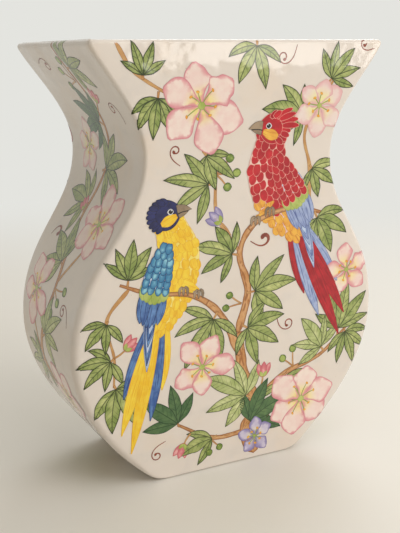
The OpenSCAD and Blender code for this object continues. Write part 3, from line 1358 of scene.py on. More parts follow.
@dataclass(frozen=True)
class LeafSpray:
    """Leaves that spread like fingers from the end of a stem and droop a little."""

    at: Sequence[float]
    angle: float
    size: float
    leaves: int = 5
    stem: float = 8.0
    spread: float = 165.0
    breadth: float = 0.16
    colour: Underglaze = LEAF
    layer: float = 1.4

    def paint(self, painting: Painting) -> None:
        """Paints the stem and the leaves, the middle one longest and on top.

        Args:
            painting: The wall's painting.
        """
        hub = np.asarray(self.at, float) + self.stem * unit(self.angle)
        painting.stroke(TWIG, [self.at, hub], (1.1, 0.8), self.layer - 0.5)
        places = np.linspace(-1, 1, self.leaves)
        for place in sorted(places, key=abs, reverse=True):
            length = self.size * (1 - 0.28 * abs(place)) * painting.hand.uniform(0.9, 1.08)
            way = self.angle + place * self.spread / 2
            droop = -26 * math.cos(math.radians(way))
            turn = droop - place * painting.hand.uniform(6, 30) + painting.hand.uniform(-10, 10)
            shape = LEAF_SHAPE * (1 + 0.07 * painting.hand.uniform(-1, 1, LEAF_SHAPE.size))
            width = length * self.breadth * painting.hand.uniform(0.88, 1.18)
            layer = self.layer + 0.5 * (1 - abs(place)) + 0.04 * place
            painting.stroke(self.colour, bend(hub, way, length, turn), width * shape, layer)


@dataclass(frozen=True)
class Blossom:
    """An open flower with rounded, ruffled petals round a yellow heart."""

    centre: Sequence[float]
    size: float
    angle: float = 90.0
    petals: int = 6
    breadth: float = 0.37
    colour: Underglaze = PETAL
    layer: float = 2.4

    def paint(self, painting: Painting) -> None:
        """Paints the petals, every other one on top, then the heart and its stamens.

        Args:
            painting: The wall's painting.
        """
        middle = np.asarray(self.centre, float)
        for petal in range(self.petals):
            over = petal % 2
            angle = self.angle + 360 / self.petals * petal + painting.hand.uniform(-7, 7)
            length = self.size * painting.hand.uniform(0.84, 1.1)
            ruffle = 1 + 0.13 * painting.hand.uniform(-1, 1, PETAL_SHAPE.size)
            root = middle + 0.06 * self.size * unit(angle)
            spine = bend(root, angle, length, painting.hand.uniform(-34, 34))
            width = self.size * self.breadth * PETAL_SHAPE * ruffle
            painting.stroke(self.colour, spine, width, self.layer + 0.5 * over + 0.05 * (petal // 2))
        for stamen in range(7):
            angle = self.angle + 360 / 7 * stamen + painting.hand.uniform(-12, 12)
            reach = self.size * painting.hand.uniform(0.3, 0.46)
            filament = bend(middle, angle, reach, painting.hand.uniform(-40, 40))
            painting.stroke(LIME, filament, (0.5, 0.35), self.layer + 1.2)
            painting.dab(ORANGE, filament[-1], (1.5, 1.0), self.layer + 1.3, angle + 60)
        painting.dab(LIME, middle, (0.1 * self.size, 0.09 * self.size), self.layer + 1.5)


@dataclass(frozen=True)
class Bud:
    """A closed bud: narrow petals in a green cup, on a stem."""

    at: Sequence[float]
    angle: float
    size: float = 15.0
    stem: float = 14.0
    colour: Underglaze = ROSE
    layer: float = 1.8

    def paint(self, painting: Painting) -> None:
        """Paints the stem, the petals and the cup.

        Args:
            painting: The wall's painting.
        """
        spine = bend(self.at, self.angle, self.stem, 25)
        painting.stroke(TWIG, spine, (0.9, 0.7), self.layer - 0.4)
        for lean in (-26, 26, 0):
            petal = bend(spine[-1], self.angle + 12 + lean, self.size, -0.5 * lean)
            layer = self.layer + 0.3 - abs(lean) / 100
            painting.stroke(self.colour, petal, 0.24 * self.size * BLADE_SHAPE, layer)
        for lean in (-32, 32):
            cup = bend(spine[-1], self.angle + 12 + lean, 0.45 * self.size, -lean)
            painting.stroke(LIME, cup, 0.13 * self.size * LEAF_SHAPE, self.layer + 0.5)


@dataclass(frozen=True)
class Berries:
    """Round green berries on a branching stalk."""

    at: Sequence[float]
    angle: float
    size: float = 4.0
    count: int = 3
    layer: float = 1.2

    def paint(self, painting: Painting) -> None:
        """Paints each stalk with its berry, and a light touch on the berry.

        Args:
            painting: The wall's painting.
        """
        for berry in range(self.count):
            lean = (berry - (self.count - 1) / 2) * 44
            spine = bend(self.at, self.angle + lean, self.size * painting.hand.uniform(2.6, 4.4), 0.5 * lean)
            painting.stroke(TWIG, spine, (0.8, 0.6), self.layer)
            middle = spine[-1] + 0.7 * self.size * unit(self.angle + lean)
            painting.dab(BERRY, middle, (self.size, 0.93 * self.size), self.layer + 0.4, self.angle)
            painting.dab(LIME, middle + (-0.3 * self.size, 0.3 * self.size), (0.9, 0.7), self.layer + 0.8)


@dataclass(frozen=True)
class Tendril:
    """A thin stem that winds itself up and ends in a drop."""

    at: Sequence[float]
    angle: float
    length: float = 46.0
    turn: float = 430.0
    heavy: bool = False
    layer: float = 0.9

    def paint(self, painting: Painting) -> None:
        """Paints the stem, fine at its root, and thick at the end where it is a heavy one.

        Args:
            painting: The wall's painting.
        """
        spine = bend(self.at, self.angle, self.length, self.turn, 2.3)
        widths = (0.35, 0.5, 0.7, 1.3, 1.9) if self.heavy else (0.3, 0.4, 0.42, 0.5, 0.55)
        painting.stroke(TENDRIL, spine, widths, self.layer)
        blob = (2.3, 1.9) if self.heavy else (1.5, 1.15)
        painting.dab(TENDRIL, spine[-1], blob, self.layer + 0.2, self.angle + self.turn)


@dataclass(frozen=True)
class Plumage:
    """The colours of one bird."""

    breast_ground: Underglaze
    breast: Underglaze
    vent: Underglaze
    wing_ground: Underglaze
    shoulder: Underglaze
    band: Underglaze
    flight: Underglaze
    tail: tuple[Underglaze, Underglaze]
    crown: Underglaze
    crest: float
    cheek: Underglaze
    beak: Underglaze


SCARLET_BIRD = Plumage(
    breast_ground=BLUSH,
    breast=CRIMSON,
    vent=AMBER,
    wing_ground=SKY,
    shoulder=CRIMSON,
    band=LIME,
    flight=DUSK,
    tail=(SCARLET, DUSK),
    crown=CRIMSON,
    crest=1.9,
    cheek=AMBER,
    beak=HORN,
)
TURQUOISE_BIRD = Plumage(
    breast_ground=LEMON,
    breast=SUN,
    vent=SUN,
    wing_ground=SKY,
    shoulder=TEAL,
    band=LIME,
    flight=ROYAL,
    tail=(SUN, ROYAL),
    crown=NAVY,
    crest=1.0,
    cheek=SUN,
    beak=HORN,
)


@dataclass(frozen=True)
class Songbird:
    """A perched long-tailed bird, drawn lying along x with its head to the right.

    Its parts are placed in millimetres from the middle of the body of a bird of size 1.
    """

    centre: Sequence[float]
    angle: float
    plumage: Plumage
    size: float = 1.0
    mirrored: bool = False
    nod: float = -50.0
    perch: float = 8.0
    layer: float = 2.6
    neck: tuple[float, float] = (45.0, 13.0)

    def paint(self, painting: Painting) -> None:
        """Paints the bird from the tail to the head, feather over feather.

        Args:
            painting: The wall's painting.
        """
        self._tail(painting)
        self._body(painting)
        self._wing(painting)
        self._head(painting)
        self._feet(painting)

    def _at(self, points: Array | Sequence[Sequence[float]]) -> Array:
        """Places points of the lying bird on the wall.

        Args:
            points: Points of the lying bird.

        Returns:
            The points in panel coordinates.
        """
        local = self.size * np.atleast_2d(np.asarray(points, float)) * (1.0, -1.0 if self.mirrored else 1.0)
        right, up = unit(self.angle), unit(self.angle + 90)
        return np.asarray(self.centre, float) + local[:, :1] * right + local[:, 1:] * up

    def _feather(
        self,
        painting: Painting,
        colour: Underglaze,
        root: Sequence[float],
        angle: float,
        length: float,
        half: float,
        layer: float,
        turn: float = 0.0,
        shape: Array = BLADE_SHAPE,
    ) -> None:
        """Paints one feather.

        Args:
            painting: The wall's painting.
            colour: Its underglaze.
            root: Where it grows, on the lying bird.
            angle: Its direction there in degrees.
            length: Its length.
            half: Half its breadth.
            layer: How many colours lie under it.
            turn: How many degrees it bends.
            shape: How its breadth runs from root to tip.
        """
        painting.stroke(colour, self._at(bend(root, angle, length, turn)), self.size * half * shape, layer)

    def _tail(self, painting: Painting) -> None:
        """Paints the long tail feathers, the outer ones first.

        Args:
            painting: The wall's painting.
        """
        outer, inner = self.plumage.tail
        for rank, (lean, length) in enumerate(((-12, 60), (10, 66), (-7, 80), (5, 90), (-1, 102))):
            colour = inner if rank in (1, 2) else outer
            root = (-26 - 2 * rank, 1 + 0.25 * lean)
            layer = self.layer + 0.12 * rank
            self._feather(painting, colour, root, 180 - lean, length, 5.4, layer, 0.8 * lean)

    def _body(self, painting: Painting) -> None:
        """Paints the breast and back as rows of short feathers over a pale ground.

        Args:
            painting: The wall's painting.
        """
        samples, first, last = 60, 4, 58
        rows, spacing = 16, 5.8
        spine = through([(-40, 2), (-22, -2), (0, -5), (20, -3), (34, 5), (45, 13)], samples)
        halves = np.interp(np.linspace(0, 1, samples), np.linspace(0, 1, 6), (5, 13, 18, 17, 12.5, 10))
        ground = self.plumage.breast_ground
        painting.stroke(ground, self._at(spine), self.size * halves[::6], self.layer + 0.7)
        ahead = np.gradient(spine, axis=0)
        ahead /= np.linalg.norm(ahead, axis=1)[:, None]
        for row in range(rows):
            station = int(first + row * (last - first) / (rows - 1))
            half = halves[station]
            count = max(2, round(2 * half / spacing))
            heading = math.degrees(math.atan2(ahead[station, 1], ahead[station, 0])) + 180
            for place in range(count + row % 2):
                share = (place + 0.5 - (row % 2) / 2) / count * 2 - 1
                share = max(-0.86, min(0.86, share))
                side = np.array([-ahead[station, 1], ahead[station, 0]])
                root = spine[station] + share * half * side + painting.hand.uniform(-0.7, 0.7, 2)
                lower = row < 5 or (row < 8 and share < -0.4)
                colour = self.plumage.vent if lower else self.plumage.breast
                angle = heading - 16 * share + painting.hand.uniform(-10, 10)
                layer = self.layer + 0.8 + 0.07 * row + 0.03 * (place % 2)
                length = 8.0 * painting.hand.uniform(0.88, 1.15)
                self._feather(painting, colour, root, angle, length, 3.3, layer, 0.0, SCALE_SHAPE)

    def _wing(self, painting: Painting) -> None:
        """Paints the folded wing: flight feathers, a band, then the small shoulder feathers.

        Args:
            painting: The wall's painting.
        """
        for blade in range(7):
            root = (-16 + 2.4 * blade, 13 - 0.9 * blade)
            colour = self.plumage.flight if blade % 3 else self.plumage.wing_ground
            angle = 192 - 1.6 * blade
            length = 56 - 2.6 * blade
            layer = self.layer + 2.1 + 0.06 * blade
            self._feather(painting, colour, root, angle, length, 3.7, layer, -6)
        ground = through([(24, 6), (12, 8), (-6, 9), (-20, 9)], 20)
        halves = self.size * np.array([1.5, 7, 10.5, 10.5, 5.0])
        painting.stroke(self.plumage.wing_ground, self._at(ground), halves, self.layer + 2.55)
        bands = ((self.plumage.flight, -16, 22.0), (self.plumage.band, -9, 11.5))
        for rank, (colour, x, length) in enumerate(bands):
            for place in range(6):
                root = (x + 1.3 * abs(place - 2.5), 18 - 3.6 * place)
                layer = self.layer + 2.65 + 0.15 * rank + 0.03 * (place % 2)
                angle = 187 - 2.0 * place
                shape = SCALE_SHAPE if rank else BLADE_SHAPE
                self._feather(painting, colour, root, angle, length, 3.4, layer, 0.0, shape)
        for rank in range(7):
            x = -5 + 5.2 * rank
            reach = 10.5 * math.sqrt(max(0.1, 1 - (rank / 6.8) ** 2))
            count = max(2, round(2 * reach / 4.8))
            for place in range(count):
                y = 8.5 - 0.25 * rank + reach - (place + 0.5) * 2 * reach / count
                layer = self.layer + 3.0 + 0.07 * rank + 0.03 * (place % 2)
                root = np.array([x, y]) + painting.hand.uniform(-0.5, 0.5, 2)
                angle = 183 - 0.8 * y
                shoulder = self.plumage.shoulder
                self._feather(painting, shoulder, root, angle, 8.2, 3.0, layer, 0.0, SCALE_SHAPE)

    def _face(self, points: Sequence[Sequence[float]]) -> Array:
        """Places points of the head, which looks along x from the middle of the skull.

        Args:
            points: Points of the head.

        Returns:
            The points in panel coordinates.
        """
        right, up = unit(self.nod), unit(self.nod + 90)
        flat = np.atleast_2d(np.asarray(points, float))
        return self._at(np.asarray(self.neck) + flat[:, :1] * right + flat[:, 1:] * up)

    def _head(self, painting: Painting) -> None:
        """Paints the head: crown, cheek, eye and a short closed beak.

        Args:
            painting: The wall's painting.
        """
        top = self.layer + 3.3
        size = self.size
        angle = self.angle + (-self.nod if self.mirrored else self.nod)
        crown, beak = self.plumage.crown, self.plumage.beak
        turn = -1 if self.mirrored else 1
        painting.dab(crown, self._face([(0, 0)])[0], (12.4 * size, 11.2 * size), top, angle)
        for tuft in range(10):
            away = 62 + 20 * tuft
            long = 7.5 * (self.plumage.crest if 1 < tuft < 6 else 1.0)
            root = self._face([7.5 * unit(away)])[0]
            way = angle + turn * (0.45 * away + 100)
            layer = top + 0.04 + 0.02 * (tuft % 2)
            spine = bend(root, way, long * size, 12 * turn)
            painting.stroke(crown, spine, 2.3 * size * SCALE_SHAPE, layer)
        cheek = self._face([(-5, -5.5), (1, -4.6), (8, -3.2)])
        painting.stroke(self.plumage.cheek, cheek, size * np.array([1.6, 3.9, 3.6, 1.6]), top + 0.12)
        upper = self._face([(9, 0.8), (14, 0.4), (20, -2.6)])
        lower = self._face([(9, -3.6), (13, -3.7), (17, -3.2)])
        painting.stroke(beak, upper, size * np.array([3.6, 2.5, 0.25]), top + 0.26)
        painting.stroke(beak, lower, size * np.array([2.2, 1.5, 0.25]), top + 0.2)
        painting.stroke(INK, self._face([(8.5, -2.2), (13, -2.1), (18, -2.9)]), (0.35, 0.35, 0.2), top + 0.32)
        painting.dab(CHEEK, self._face([(4.0, 1.2)])[0], (2.5 * size, 2.3 * size), top + 0.22)
        painting.dab(INK, self._face([(4.2, 1.2)])[0], (1.75 * size, 1.7 * size), top + 0.3)
        painting.dab(CHEEK, self._face([(4.9, 2.0)])[0], (0.55, 0.5), top + 0.38)

    def _feet(self, painting: Painting) -> None:
        """Paints the thighs and both feet closed over the branch.

        Args:
            painting: The wall's painting.
        """
        middle = self._at([(-9, -21)])[0]
        for side in (-1, 1):
            foot = middle + 6.5 * side * self.size * unit(self.perch)
            thigh = self._at([(-7 + 5 * side, -12)])[0]
            ankle = foot + (0.0, 3.5 * self.size)
            halves = self.size * np.array([4.2, 4.4, 2.6, 1.0])
            painting.stroke(self.plumage.vent, [thigh, ankle], halves, self.layer + 2.1)
            for toe in (-3.4, 0.0, 3.4):
                spine = foot + self.size * np.array([(0.25 * toe, 3.8), (0.9 * toe, 2.0), (toe, -3.2)])
                painting.stroke(HORN, spine, self.size * np.array([1.0, 1.25, 1.1, 0.35]), self.layer + 2.3)


# ---------------------------------------------------------------------------------------------
# Designs

FRONT_DESIGN = (
    Branch([(26, 6), (14, 26), (22, 52), (10, 82), (3, 116)], 5.6, 4.2, 0.7),
    Branch([(3, 116), (10, 150), (1, 182), (15, 205), (48, 213), (78, 206)], 3.8, 1.4, perch=(54, 90)),
    Branch([(6, 96), (-12, 132), (-38, 152), (-72, 158), (-98, 168)], 3.6, 1.3, 0.75, perch=(43, 83)),
    Branch([(20, 50), (48, 72), (84, 84), (110, 106)], 3.3, 1.2, 0.6),
    Branch([(16, 28), (-16, 28), (-48, 46)], 2.8, 1.0, 0.6),
    Branch([(62, 211), (60, 244), (54, 274), (78, 312)], 1.9, 0.9, 0.5, TWIG),
    Branch([(1, 182), (-20, 212), (-24, 244), (-38, 272)], 1.9, 0.9, 0.5, TWIG),
    Branch([(-90, 165), (-108, 142), (-102, 112), (-102, 88)], 1.6, 0.8, 0.5, TWIG),
    Branch([(-102, 338), (-88, 318), (-58, 300)], 1.8, 0.9, 0.5, TWIG),
    LeafSpray((107, 104), -70, 32, 5, 4, 130),
    LeafSpray((100, 98), 82, 43, 5, 7, 130),
    LeafSpray((88, 86), 128, 36, 5, 6, colour=PALE_LEAF),
    LeafSpray((46, 70), -72, 40, 5, 6),
    LeafSpray((9, 148), 6, 40, 5, 8),
    LeafSpray((6, 122), -30, 38, 5, 7),
    LeafSpray((0, 180), 166, 34, 5, 6),
    LeafSpray((-16, 136), 238, 44, 5, 7),
    LeafSpray((20, 56), 152, 44, 5, 8, colour=PALE_LEAF),
    LeafSpray((14, 32), 44, 44, 4, 6, 130, 0.18, DEEP_LEAF),
    LeafSpray((-46, 44), 122, 42, 4, 4, 120, 0.18, DEEP_LEAF),
    LeafSpray((-12, 29), 200, 34, 3, 5, 80, 0.18),
    LeafSpray((-92, 166), 82, 34, 5, 5, 120),
    LeafSpray((-107, 142), 248, 28, 4, 3, 120),
    LeafSpray((-102, 112), 222, 30, 5, 4, 150),
    LeafSpray((-102, 90), -62, 40, 5, 4, 130),
    LeafSpray((68, 208), -62, 37, 5, 6, 140),
    LeafSpray((60, 246), -52, 30, 4, 4, 120),
    LeafSpray((54, 284), 172, 34, 5, 4),
    LeafSpray((72, 308), 48, 33, 5, 4, 130),
    LeafSpray((8, 339), -96, 34, 4, 4, 130, 0.17),
    LeafSpray((-22, 236), 172, 40, 5, 7),
    LeafSpray((-34, 262), -54, 32, 4, 5, 100),
    LeafSpray((-70, 305), 264, 30, 5, 5, 110),
    LeafSpray((-82, 313), 90, 27, 4, 3, 120),
    Blossom((68, 46), 32, 80),
    Blossom((-36, 294), 32, 100),
    Blossom((-28, 92), 26, 60, 5),
    Blossom((65, 291), 22, 20, colour=FADED_PETAL),
    Blossom((24, 21), 17, 20, 5, colour=LILAC, layer=2.8),
    Blossom((104, 156), 22, 100, 5),
    Bud((-102, 112), 30, 13, 10),
    Bud((26, 62), 76, 13, 12),
    Bud((-8, 196), 128, 14, 14, LILAC),
    Bud((-36, 36), 236, 13, 10),
    Berries((5, 140), 166, 3.4, 2),
    Berries((-23, 244), 0, 3.8),
    Berries((58, 77), 118, 3.8, 2),
    Berries((-18, 28), -70, 3.4, 2),
    Tendril((-52, 252), 146, 30, -400),
    Tendril((38, 128), -80, 42, 430),
    Tendril((42, 336), 254, 38, -430),
    Tendril((113, 333), 196, 26, -400),
    Tendril((10, 190), -34, 28, 280, True),
    Tendril((-58, 34), 200, 34, 400),
    Songbird((35, 227), 118, SCARLET_BIRD, 1.06, True, -54, 26),
    Songbird((-59, 168), 78, TURQUOISE_BIRD, 1.04, False, -62, -16),
)

BACK_DESIGN = (
    Branch([(-26, 5), (-14, 24), (10, 46), (22, 74)], 5.4, 4.2, 0.7),
    Branch(
        [(22, 74), (54, 94), (88, 120), (98, 154), (72, 180), (30, 184), (-8, 171), (-34, 168), (-76, 176)],
        4.2,
        1.3,
        perch=(79, 95),
    ),
    Branch([(22, 74), (-8, 98), (-44, 110), (-80, 106), (-112, 120)], 3.5, 1.3, 0.75),
    Branch([(34, 184), (18, 222), (-8, 254), (-24, 304)], 2.3, 0.9, 0.5, TWIG),
    Branch([(8, 44), (44, 40), (78, 56)], 2.8, 1.0, 0.6),
    Branch([(96, 160), (84, 196), (56, 228), (62, 262)], 1.9, 0.9, 0.5, TWIG),
    Branch([(46, 41), (50, 32), (44, 24)], 1.6, 0.9, 0.5, TWIG),
    LeafSpray((94, 136), -46, 38, 5, 6, 130),
    LeafSpray((86, 170), 84, 34, 5, 4, 120),
    LeafSpray((56, 94), -58, 46, 5, 6),
    LeafSpray((40, 84), 104, 44, 5, 8),
    LeafSpray((-6, 98), 56, 42, 5, 8),
    LeafSpray((-26, 106), -84, 46, 5, 8),
    LeafSpray((-88, 106), -110, 36, 5, 5),
    LeafSpray((-98, 111), 90, 46, 5, 7, colour=PALE_LEAF),
    LeafSpray((-72, 175), 118, 34, 4, 4, 110),
    LeafSpray((-14, 28), 150, 42, 4, 4, 110, 0.18, DEEP_LEAF),
    LeafSpray((76, 55), 34, 40, 5, 5, 130),
    LeafSpray((12, 46), 142, 40, 5, 5),
    LeafSpray((16, 224), 164, 42, 5, 8),
    LeafSpray((-8, 252), 26, 40, 5, 8),
    LeafSpray((-24, 300), 80, 38, 5, 4),
    LeafSpray((-14, 272), 184, 32, 4, 6, 120),
    LeafSpray((80, 339), -108, 42, 4, 6, 120),
    LeafSpray((46, 184), -80, 42, 5, 8),
    LeafSpray((57, 226), -26, 34, 5, 5, 130),
    LeafSpray((-94, 339), -62, 36, 4, 4, 110),
    Blossom((-52, 292), 32, 100),
    Blossom((-74, 54), 31, 40),
    Blossom((44, 138), 28, 80, 5, colour=LILAC),
    Blossom((56, 284), 31, 20),
    Blossom((43, 23), 18, 60, 5, colour=LILAC, layer=2.2),
    Blossom((-25, 21), 17, 100, 5, colour=FADED_PETAL, layer=2.8),
    Bud((-90, 108), 40, 13, 12),
    Bud((88, 120), 10, 13, 10),
    Berries((20, 216), 26, 4.2),
    Berries((34, 42), 66, 4.0, 2),
    Berries((8, 176), 112, 4.0),
    Berries((90, 180), 36, 3.8, 2),
    Tendril((112, 336), 206, 34, -430),
    Tendril((108, 104), -96, 38, -430),
    Tendril((4, 150), 196, 44, -430),
    Tendril((14, 332), -50, 40, 430),
    Tendril((-14, 208), 96, 36, 430),
    Tendril((-66, 258), 60, 26, 400),
    Songbird((-46, 176), 92, SCARLET_BIRD, 1.0, False, -62, -4),
)

RIGHT_DESIGN = (
    Branch([(8, 14), (-12, 66), (10, 130), (-10, 200), (10, 262), (-8, 330), (6, 398)], 3.0, 1.3, 0.6),
    Branch([(4, 108), (22, 146), (34, 176)], 1.8, 0.8, 0.5, TWIG),
    Branch([(-8, 196), (-28, 226), (-34, 252)], 1.8, 0.8, 0.5, TWIG),
    LeafSpray((-10, 54), 174, 31, 5, 6),
    LeafSpray((2, 34), 24, 36, 5, 6, colour=PALE_LEAF),
    LeafSpray((6, 116), -30, 38, 5, 8),
    LeafSpray((6, 146), 152, 38, 5, 7),
    LeafSpray((-6, 212), 24, 40, 5, 8, colour=DEEP_LEAF),
    LeafSpray((10, 268), 8, 40, 5, 7),
    LeafSpray((0, 298), 164, 42, 5, 9),
    LeafSpray((-8, 334), 30, 40, 5, 8),
    LeafSpray((2, 384), 188, 36, 5, 5),
    Blossom((-20, 96), 29, 110),
    Blossom((32, 182), 27, 50, 5),
    Blossom((-30, 256), 29, 120, colour=LILAC),
    Blossom((32, 314), 24, 20, 5, colour=FADED_PETAL),
    Bud((-6, 344), 132, 13, 12),
    Bud((8, 244), 60, 12, 10),
    Berries((-8, 78), 20, 4.2),
    Berries((2, 362), 30, 4.2),
    Berries((-9, 192), 196, 4.2),
    Tendril((-50, 344), 84, 46, -430),
    Tendril((50, 374), 150, 42, 430),
    Tendril((46, 82), 110, 44, 430),
    Tendril((-44, 150), 60, 42, 430),
    Tendril((-44, 204), 30, 24, 230, True),
)

LEFT_DESIGN = (
    Branch([(-6, 14), (10, 70), (-12, 128), (8, 190), (-8, 250), (12, 318), (4, 398)], 3.0, 1.3, 0.6),
    Branch([(2, 104), (-20, 144), (-34, 176)], 1.8, 0.8, 0.5, TWIG),
    Branch([(6, 190), (28, 222), (36, 250)], 1.8, 0.8, 0.5, TWIG),
    LeafSpray((7, 56), 8, 34, 5, 6),
    LeafSpray((0, 40), 162, 38, 5, 6),
    LeafSpray((-12, 124), 196, 36, 5, 7),
    LeafSpray((-6, 146), 30, 38, 5, 7, colour=PALE_LEAF),
    LeafSpray((6, 204), 146, 42, 5, 8),
    LeafSpray((-8, 258), 172, 40, 5, 7),
    LeafSpray((-2, 286), 14, 40, 5, 8),
    LeafSpray((12, 322), 156, 42, 5, 9, colour=DEEP_LEAF),
    LeafSpray((8, 372), 10, 38, 5, 6),
    Blossom((20, 100), 28, 60),
    Blossom((-30, 180), 28, 120, 5),
    Blossom((30, 246), 30, 40),
    Blossom((-32, 304), 22, 90, 5, colour=FADED_PETAL),
    Bud((12, 334), 46, 13, 12),
    Bud((-7, 244), 118, 12, 10),
    Berries((10, 78), 168, 4.2),
    Berries((6, 360), 150, 4.2),
    Berries((8, 188), -40, 4.2),
    Tendril((56, 326), 96, 42, 430),
    Tendril((-50, 376), 30, 42, -430),
    Tendril((-46, 84), 84, 44, -430),
    Tendril((46, 166), 108, 42, 430),
    Tendril((-46, 224), 60, 24, -230, True),
)


# ---------------------------------------------------------------------------------------------
# Studio


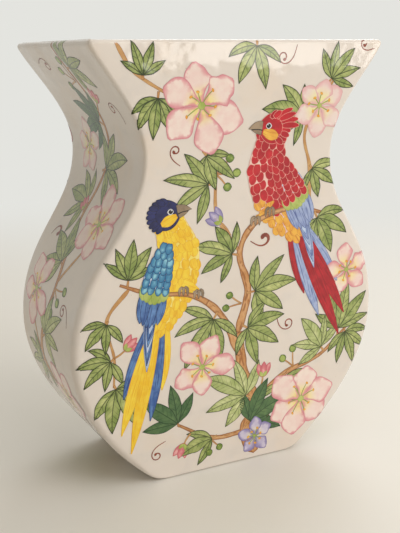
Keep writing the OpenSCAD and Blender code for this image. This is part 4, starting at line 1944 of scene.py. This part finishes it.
@dataclass
class Studio:
    """The pale floor and background, the soft lamps and the camera."""

    camera_place: tuple[float, float, float] = (-336.4, -648.0, 328.3)
    camera_heading: float = 27.6
    camera_pitch: float = 13.2
    camera_roll: float = -0.5
    lens_mm: float = 60.6
    sensor_mm: float = 36.0
    backdrop: str = "#e4e4df"
    floor_colour: str = "#efede8"
    floor_roughness: float = 0.55
    floor_radius: float = 6000.0
    floor_sides: int = 48
    floor_gap: float = 0.2
    fade_start: float = 420.0
    fade_end: float = 1400.0
    shade_colour: str = "#e7ddc8"
    shade: float = 0.42
    window_place: tuple[float, float, float] = (1150.0, -1450.0, 620.0)
    pane: tuple[float, float] = (500.0, 620.0)
    bar: float = 110.0
    pane_watts: float = 4.45

    def build(self) -> None:
        """Makes the floor, the world, the lamps and the camera."""
        self._floor()
        self._world()
        self._window()
        self._lamp("ceiling", (250, -600, 1900), (0, 0, 100), 2000, 2000, watts=12.5, colour="#fdfcfa")
        self._lamp("back_fill", (1300, 1300, 1500), (0, 0, 150), 1400, 1400, watts=16.0, colour="#fbfbfa")
        self._camera()

    def _window(self) -> None:
        """Adds a window of four panes, whose bars break up its reflection in the glaze."""
        middle, target = Vector(self.window_place), Vector((0, 0, 175))
        facing = (target - middle).normalized()
        right = facing.cross(Vector((0, 0, 1))).normalized()
        up = right.cross(facing)
        width, height = self.pane
        for column in (-0.5, 0.5):
            for row in (-0.5, 0.5):
                shift = column * (width + self.bar) * right + row * (height + self.bar) * up
                name = f"window_pane_{'left' if column < 0 else 'right'}_{'lower' if row < 0 else 'upper'}"
                self._lamp(name, middle + shift, target + shift, width, height, self.pane_watts, "#fffaf4")

    def _camera(self) -> None:
        """Adds the camera and makes it the scene's."""
        made = bpy.data.cameras.new("camera")
        made.lens = self.lens_mm
        made.sensor_width = self.sensor_mm
        place = bpy.data.objects.new("camera", made)
        place.location = Vector(self.camera_place) * MM
        heading, pitch = math.radians(self.camera_heading), math.radians(self.camera_pitch)
        level = math.cos(pitch)
        look = Vector((math.sin(heading) * level, math.cos(heading) * level, -math.sin(pitch)))
        upright = look.to_track_quat("-Z", "Y")
        place.rotation_mode = "QUATERNION"
        place.rotation_quaternion = upright @ Quaternion((0.0, 0.0, 1.0), math.radians(self.camera_roll))
        bpy.context.scene.collection.objects.link(place)
        bpy.context.scene.camera = place

    def _lamp(
        self,
        name: str,
        place: Sequence[float],
        target: Sequence[float],
        width: float,
        height: float,
        watts: float,
        colour: str,
    ) -> None:
        """Adds a soft rectangular lamp.

        Args:
            name: The lamp's name.
            place: Its centre in millimetres.
            target: What it faces, in millimetres.
            width: Its width in millimetres.
            height: Its height in millimetres.
            watts: Its power.
            colour: Its tint.
        """
        made = bpy.data.lights.new(name, "AREA")
        made.shape = "RECTANGLE"
        made.size = width * MM
        made.size_y = height * MM
        made.energy = watts
        made.color = linear(colour)[:3]
        lamp = bpy.data.objects.new(name, made)
        lamp.location = Vector(place) * MM
        lamp.rotation_mode = "QUATERNION"
        lamp.rotation_quaternion = (Vector(target) - Vector(place)).to_track_quat("-Z", "Y")
        bpy.context.scene.collection.objects.link(lamp)

    def _seen(self, tree: bpy.types.NodeTree) -> bpy.types.Node:
        """Tells rays from the camera, a mirror or glass from the rest.

        Args:
            tree: The tree that gets the nodes.

        Returns:
            A node that is 1 for those rays and 0 for the rest.
        """
        path = node(tree, "ShaderNodeLightPath")
        either = {0: path.outputs["Is Camera Ray"], 1: path.outputs["Is Glossy Ray"]}
        seen = node(tree, MATH, {"operation": "MAXIMUM"}, either)
        return node(tree, MATH, {"operation": "MAXIMUM"}, {0: seen, 1: path.outputs["Is Transmission Ray"]})

    def _world(self) -> None:
        """Gives the world a pale colour to look at, and a dimmer one to light with."""
        world = bpy.data.worlds.new("studio")
        world.use_nodes = True
        tree = world.node_tree
        tree.nodes.clear()
        shade = {"Color": linear(self.shade_colour), "Strength": self.shade}
        dim = node(tree, "ShaderNodeBackground", inputs=shade)
        seen = node(tree, "ShaderNodeBackground", inputs={"Color": linear(self.backdrop), "Strength": 1.0})
        both = node(tree, "ShaderNodeMixShader", inputs={0: self._seen(tree), 1: dim, 2: seen})
        node(tree, "ShaderNodeOutputWorld", inputs={"Surface": both})
        bpy.context.scene.world = world
        bpy.context.scene.view_settings.view_transform = "Standard"

    def _floor(self) -> None:
        """Adds the floor: painted board near the vase that turns into the background further off."""
        mesh = bpy.data.meshes.new("floor")
        angles = np.arange(0, 360, 360 / self.floor_sides)
        ring = [(*(self.floor_radius * MM * unit(angle)), -self.floor_gap * MM) for angle in angles]
        mesh.from_pydata(ring, [], [tuple(range(self.floor_sides))])
        made = bpy.data.materials.new("painted_board_floor")
        made.use_nodes = True
        tree = made.node_tree
        tree.nodes.clear()
        board = {"Base Color": linear(self.floor_colour), "Roughness": self.floor_roughness}
        matt = node(tree, "ShaderNodeBsdfPrincipled", inputs=board)
        far = node(tree, "ShaderNodeEmission", inputs={"Color": linear(self.backdrop), "Strength": 1.0})
        place = node(tree, "ShaderNodeTexCoord").outputs["Object"]
        reach = node(tree, "ShaderNodeVectorMath", {"operation": "LENGTH"}, {0: place})
        limits = {"Value": reach, 1: self.fade_start * MM, 2: self.fade_end * MM}
        fade = node(tree, RANGE, EASED, limits)
        share = node(tree, MATH, {"operation": "MULTIPLY"}, {0: fade, 1: self._seen(tree)})
        both = node(tree, "ShaderNodeMixShader", inputs={0: share, 1: matt, 2: far})
        node(tree, "ShaderNodeOutputMaterial", inputs={"Surface": both})
        mesh.materials.append(made)
        floor = bpy.data.objects.new("floor", mesh)
        bpy.context.scene.collection.objects.link(floor)
        floor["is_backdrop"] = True


# ---------------------------------------------------------------------------------------------
# Assembly


def main() -> None:
    """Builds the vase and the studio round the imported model."""
    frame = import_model()
    cad_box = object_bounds()
    form = VaseForm(height=cad_box[1].z / MM)
    Studio().build()
    ivory = IvoryGlaze("glazed_earthenware_ivory").material()
    smeared = SmearedGlaze("glazed_earthenware_smeared").material()
    clay = BareClay("bare_earthenware_clay").material()
    walls = (
        (SlabShell(SlabPanel(form, "front", facing=1.0, phase=0.4)), FRONT_DESIGN),
        (SlabShell(SlabPanel(form, "back", facing=-1.0, phase=2.9)), BACK_DESIGN),
        (StripShell(StripPanel(form, "left_side", side=-1.0, phase=1.7)), LEFT_DESIGN),
        (StripShell(StripPanel(form, "right_side", side=1.0, phase=4.1)), RIGHT_DESIGN),
    )
    palette: dict[Underglaze, bpy.types.Material] = {}
    for number, (wall, design) in enumerate(walls):
        clay_wall = wall.build(ivory)
        log.info("%s: %d faces", clay_wall.name, len(clay_wall.data.polygons))
        painting = Painting(wall.panel, seed=number + FIRST_SEED)
        for motif in design:
            motif.paint(painting)
        for colour in painting.dry(palette):
            log.info("%s: %d faces", colour.name, len(colour.data.polygons))
    for name, solid in frame["nodes"].items():
        solid.data.materials.clear()
        solid.data.materials.append(clay if name == "base_slab" else smeared)
        log.info("%s: finished", name)


if __name__ == "__main__":
    logging.basicConfig(level=logging.INFO, format="%(name)s: %(message)s")
    main()
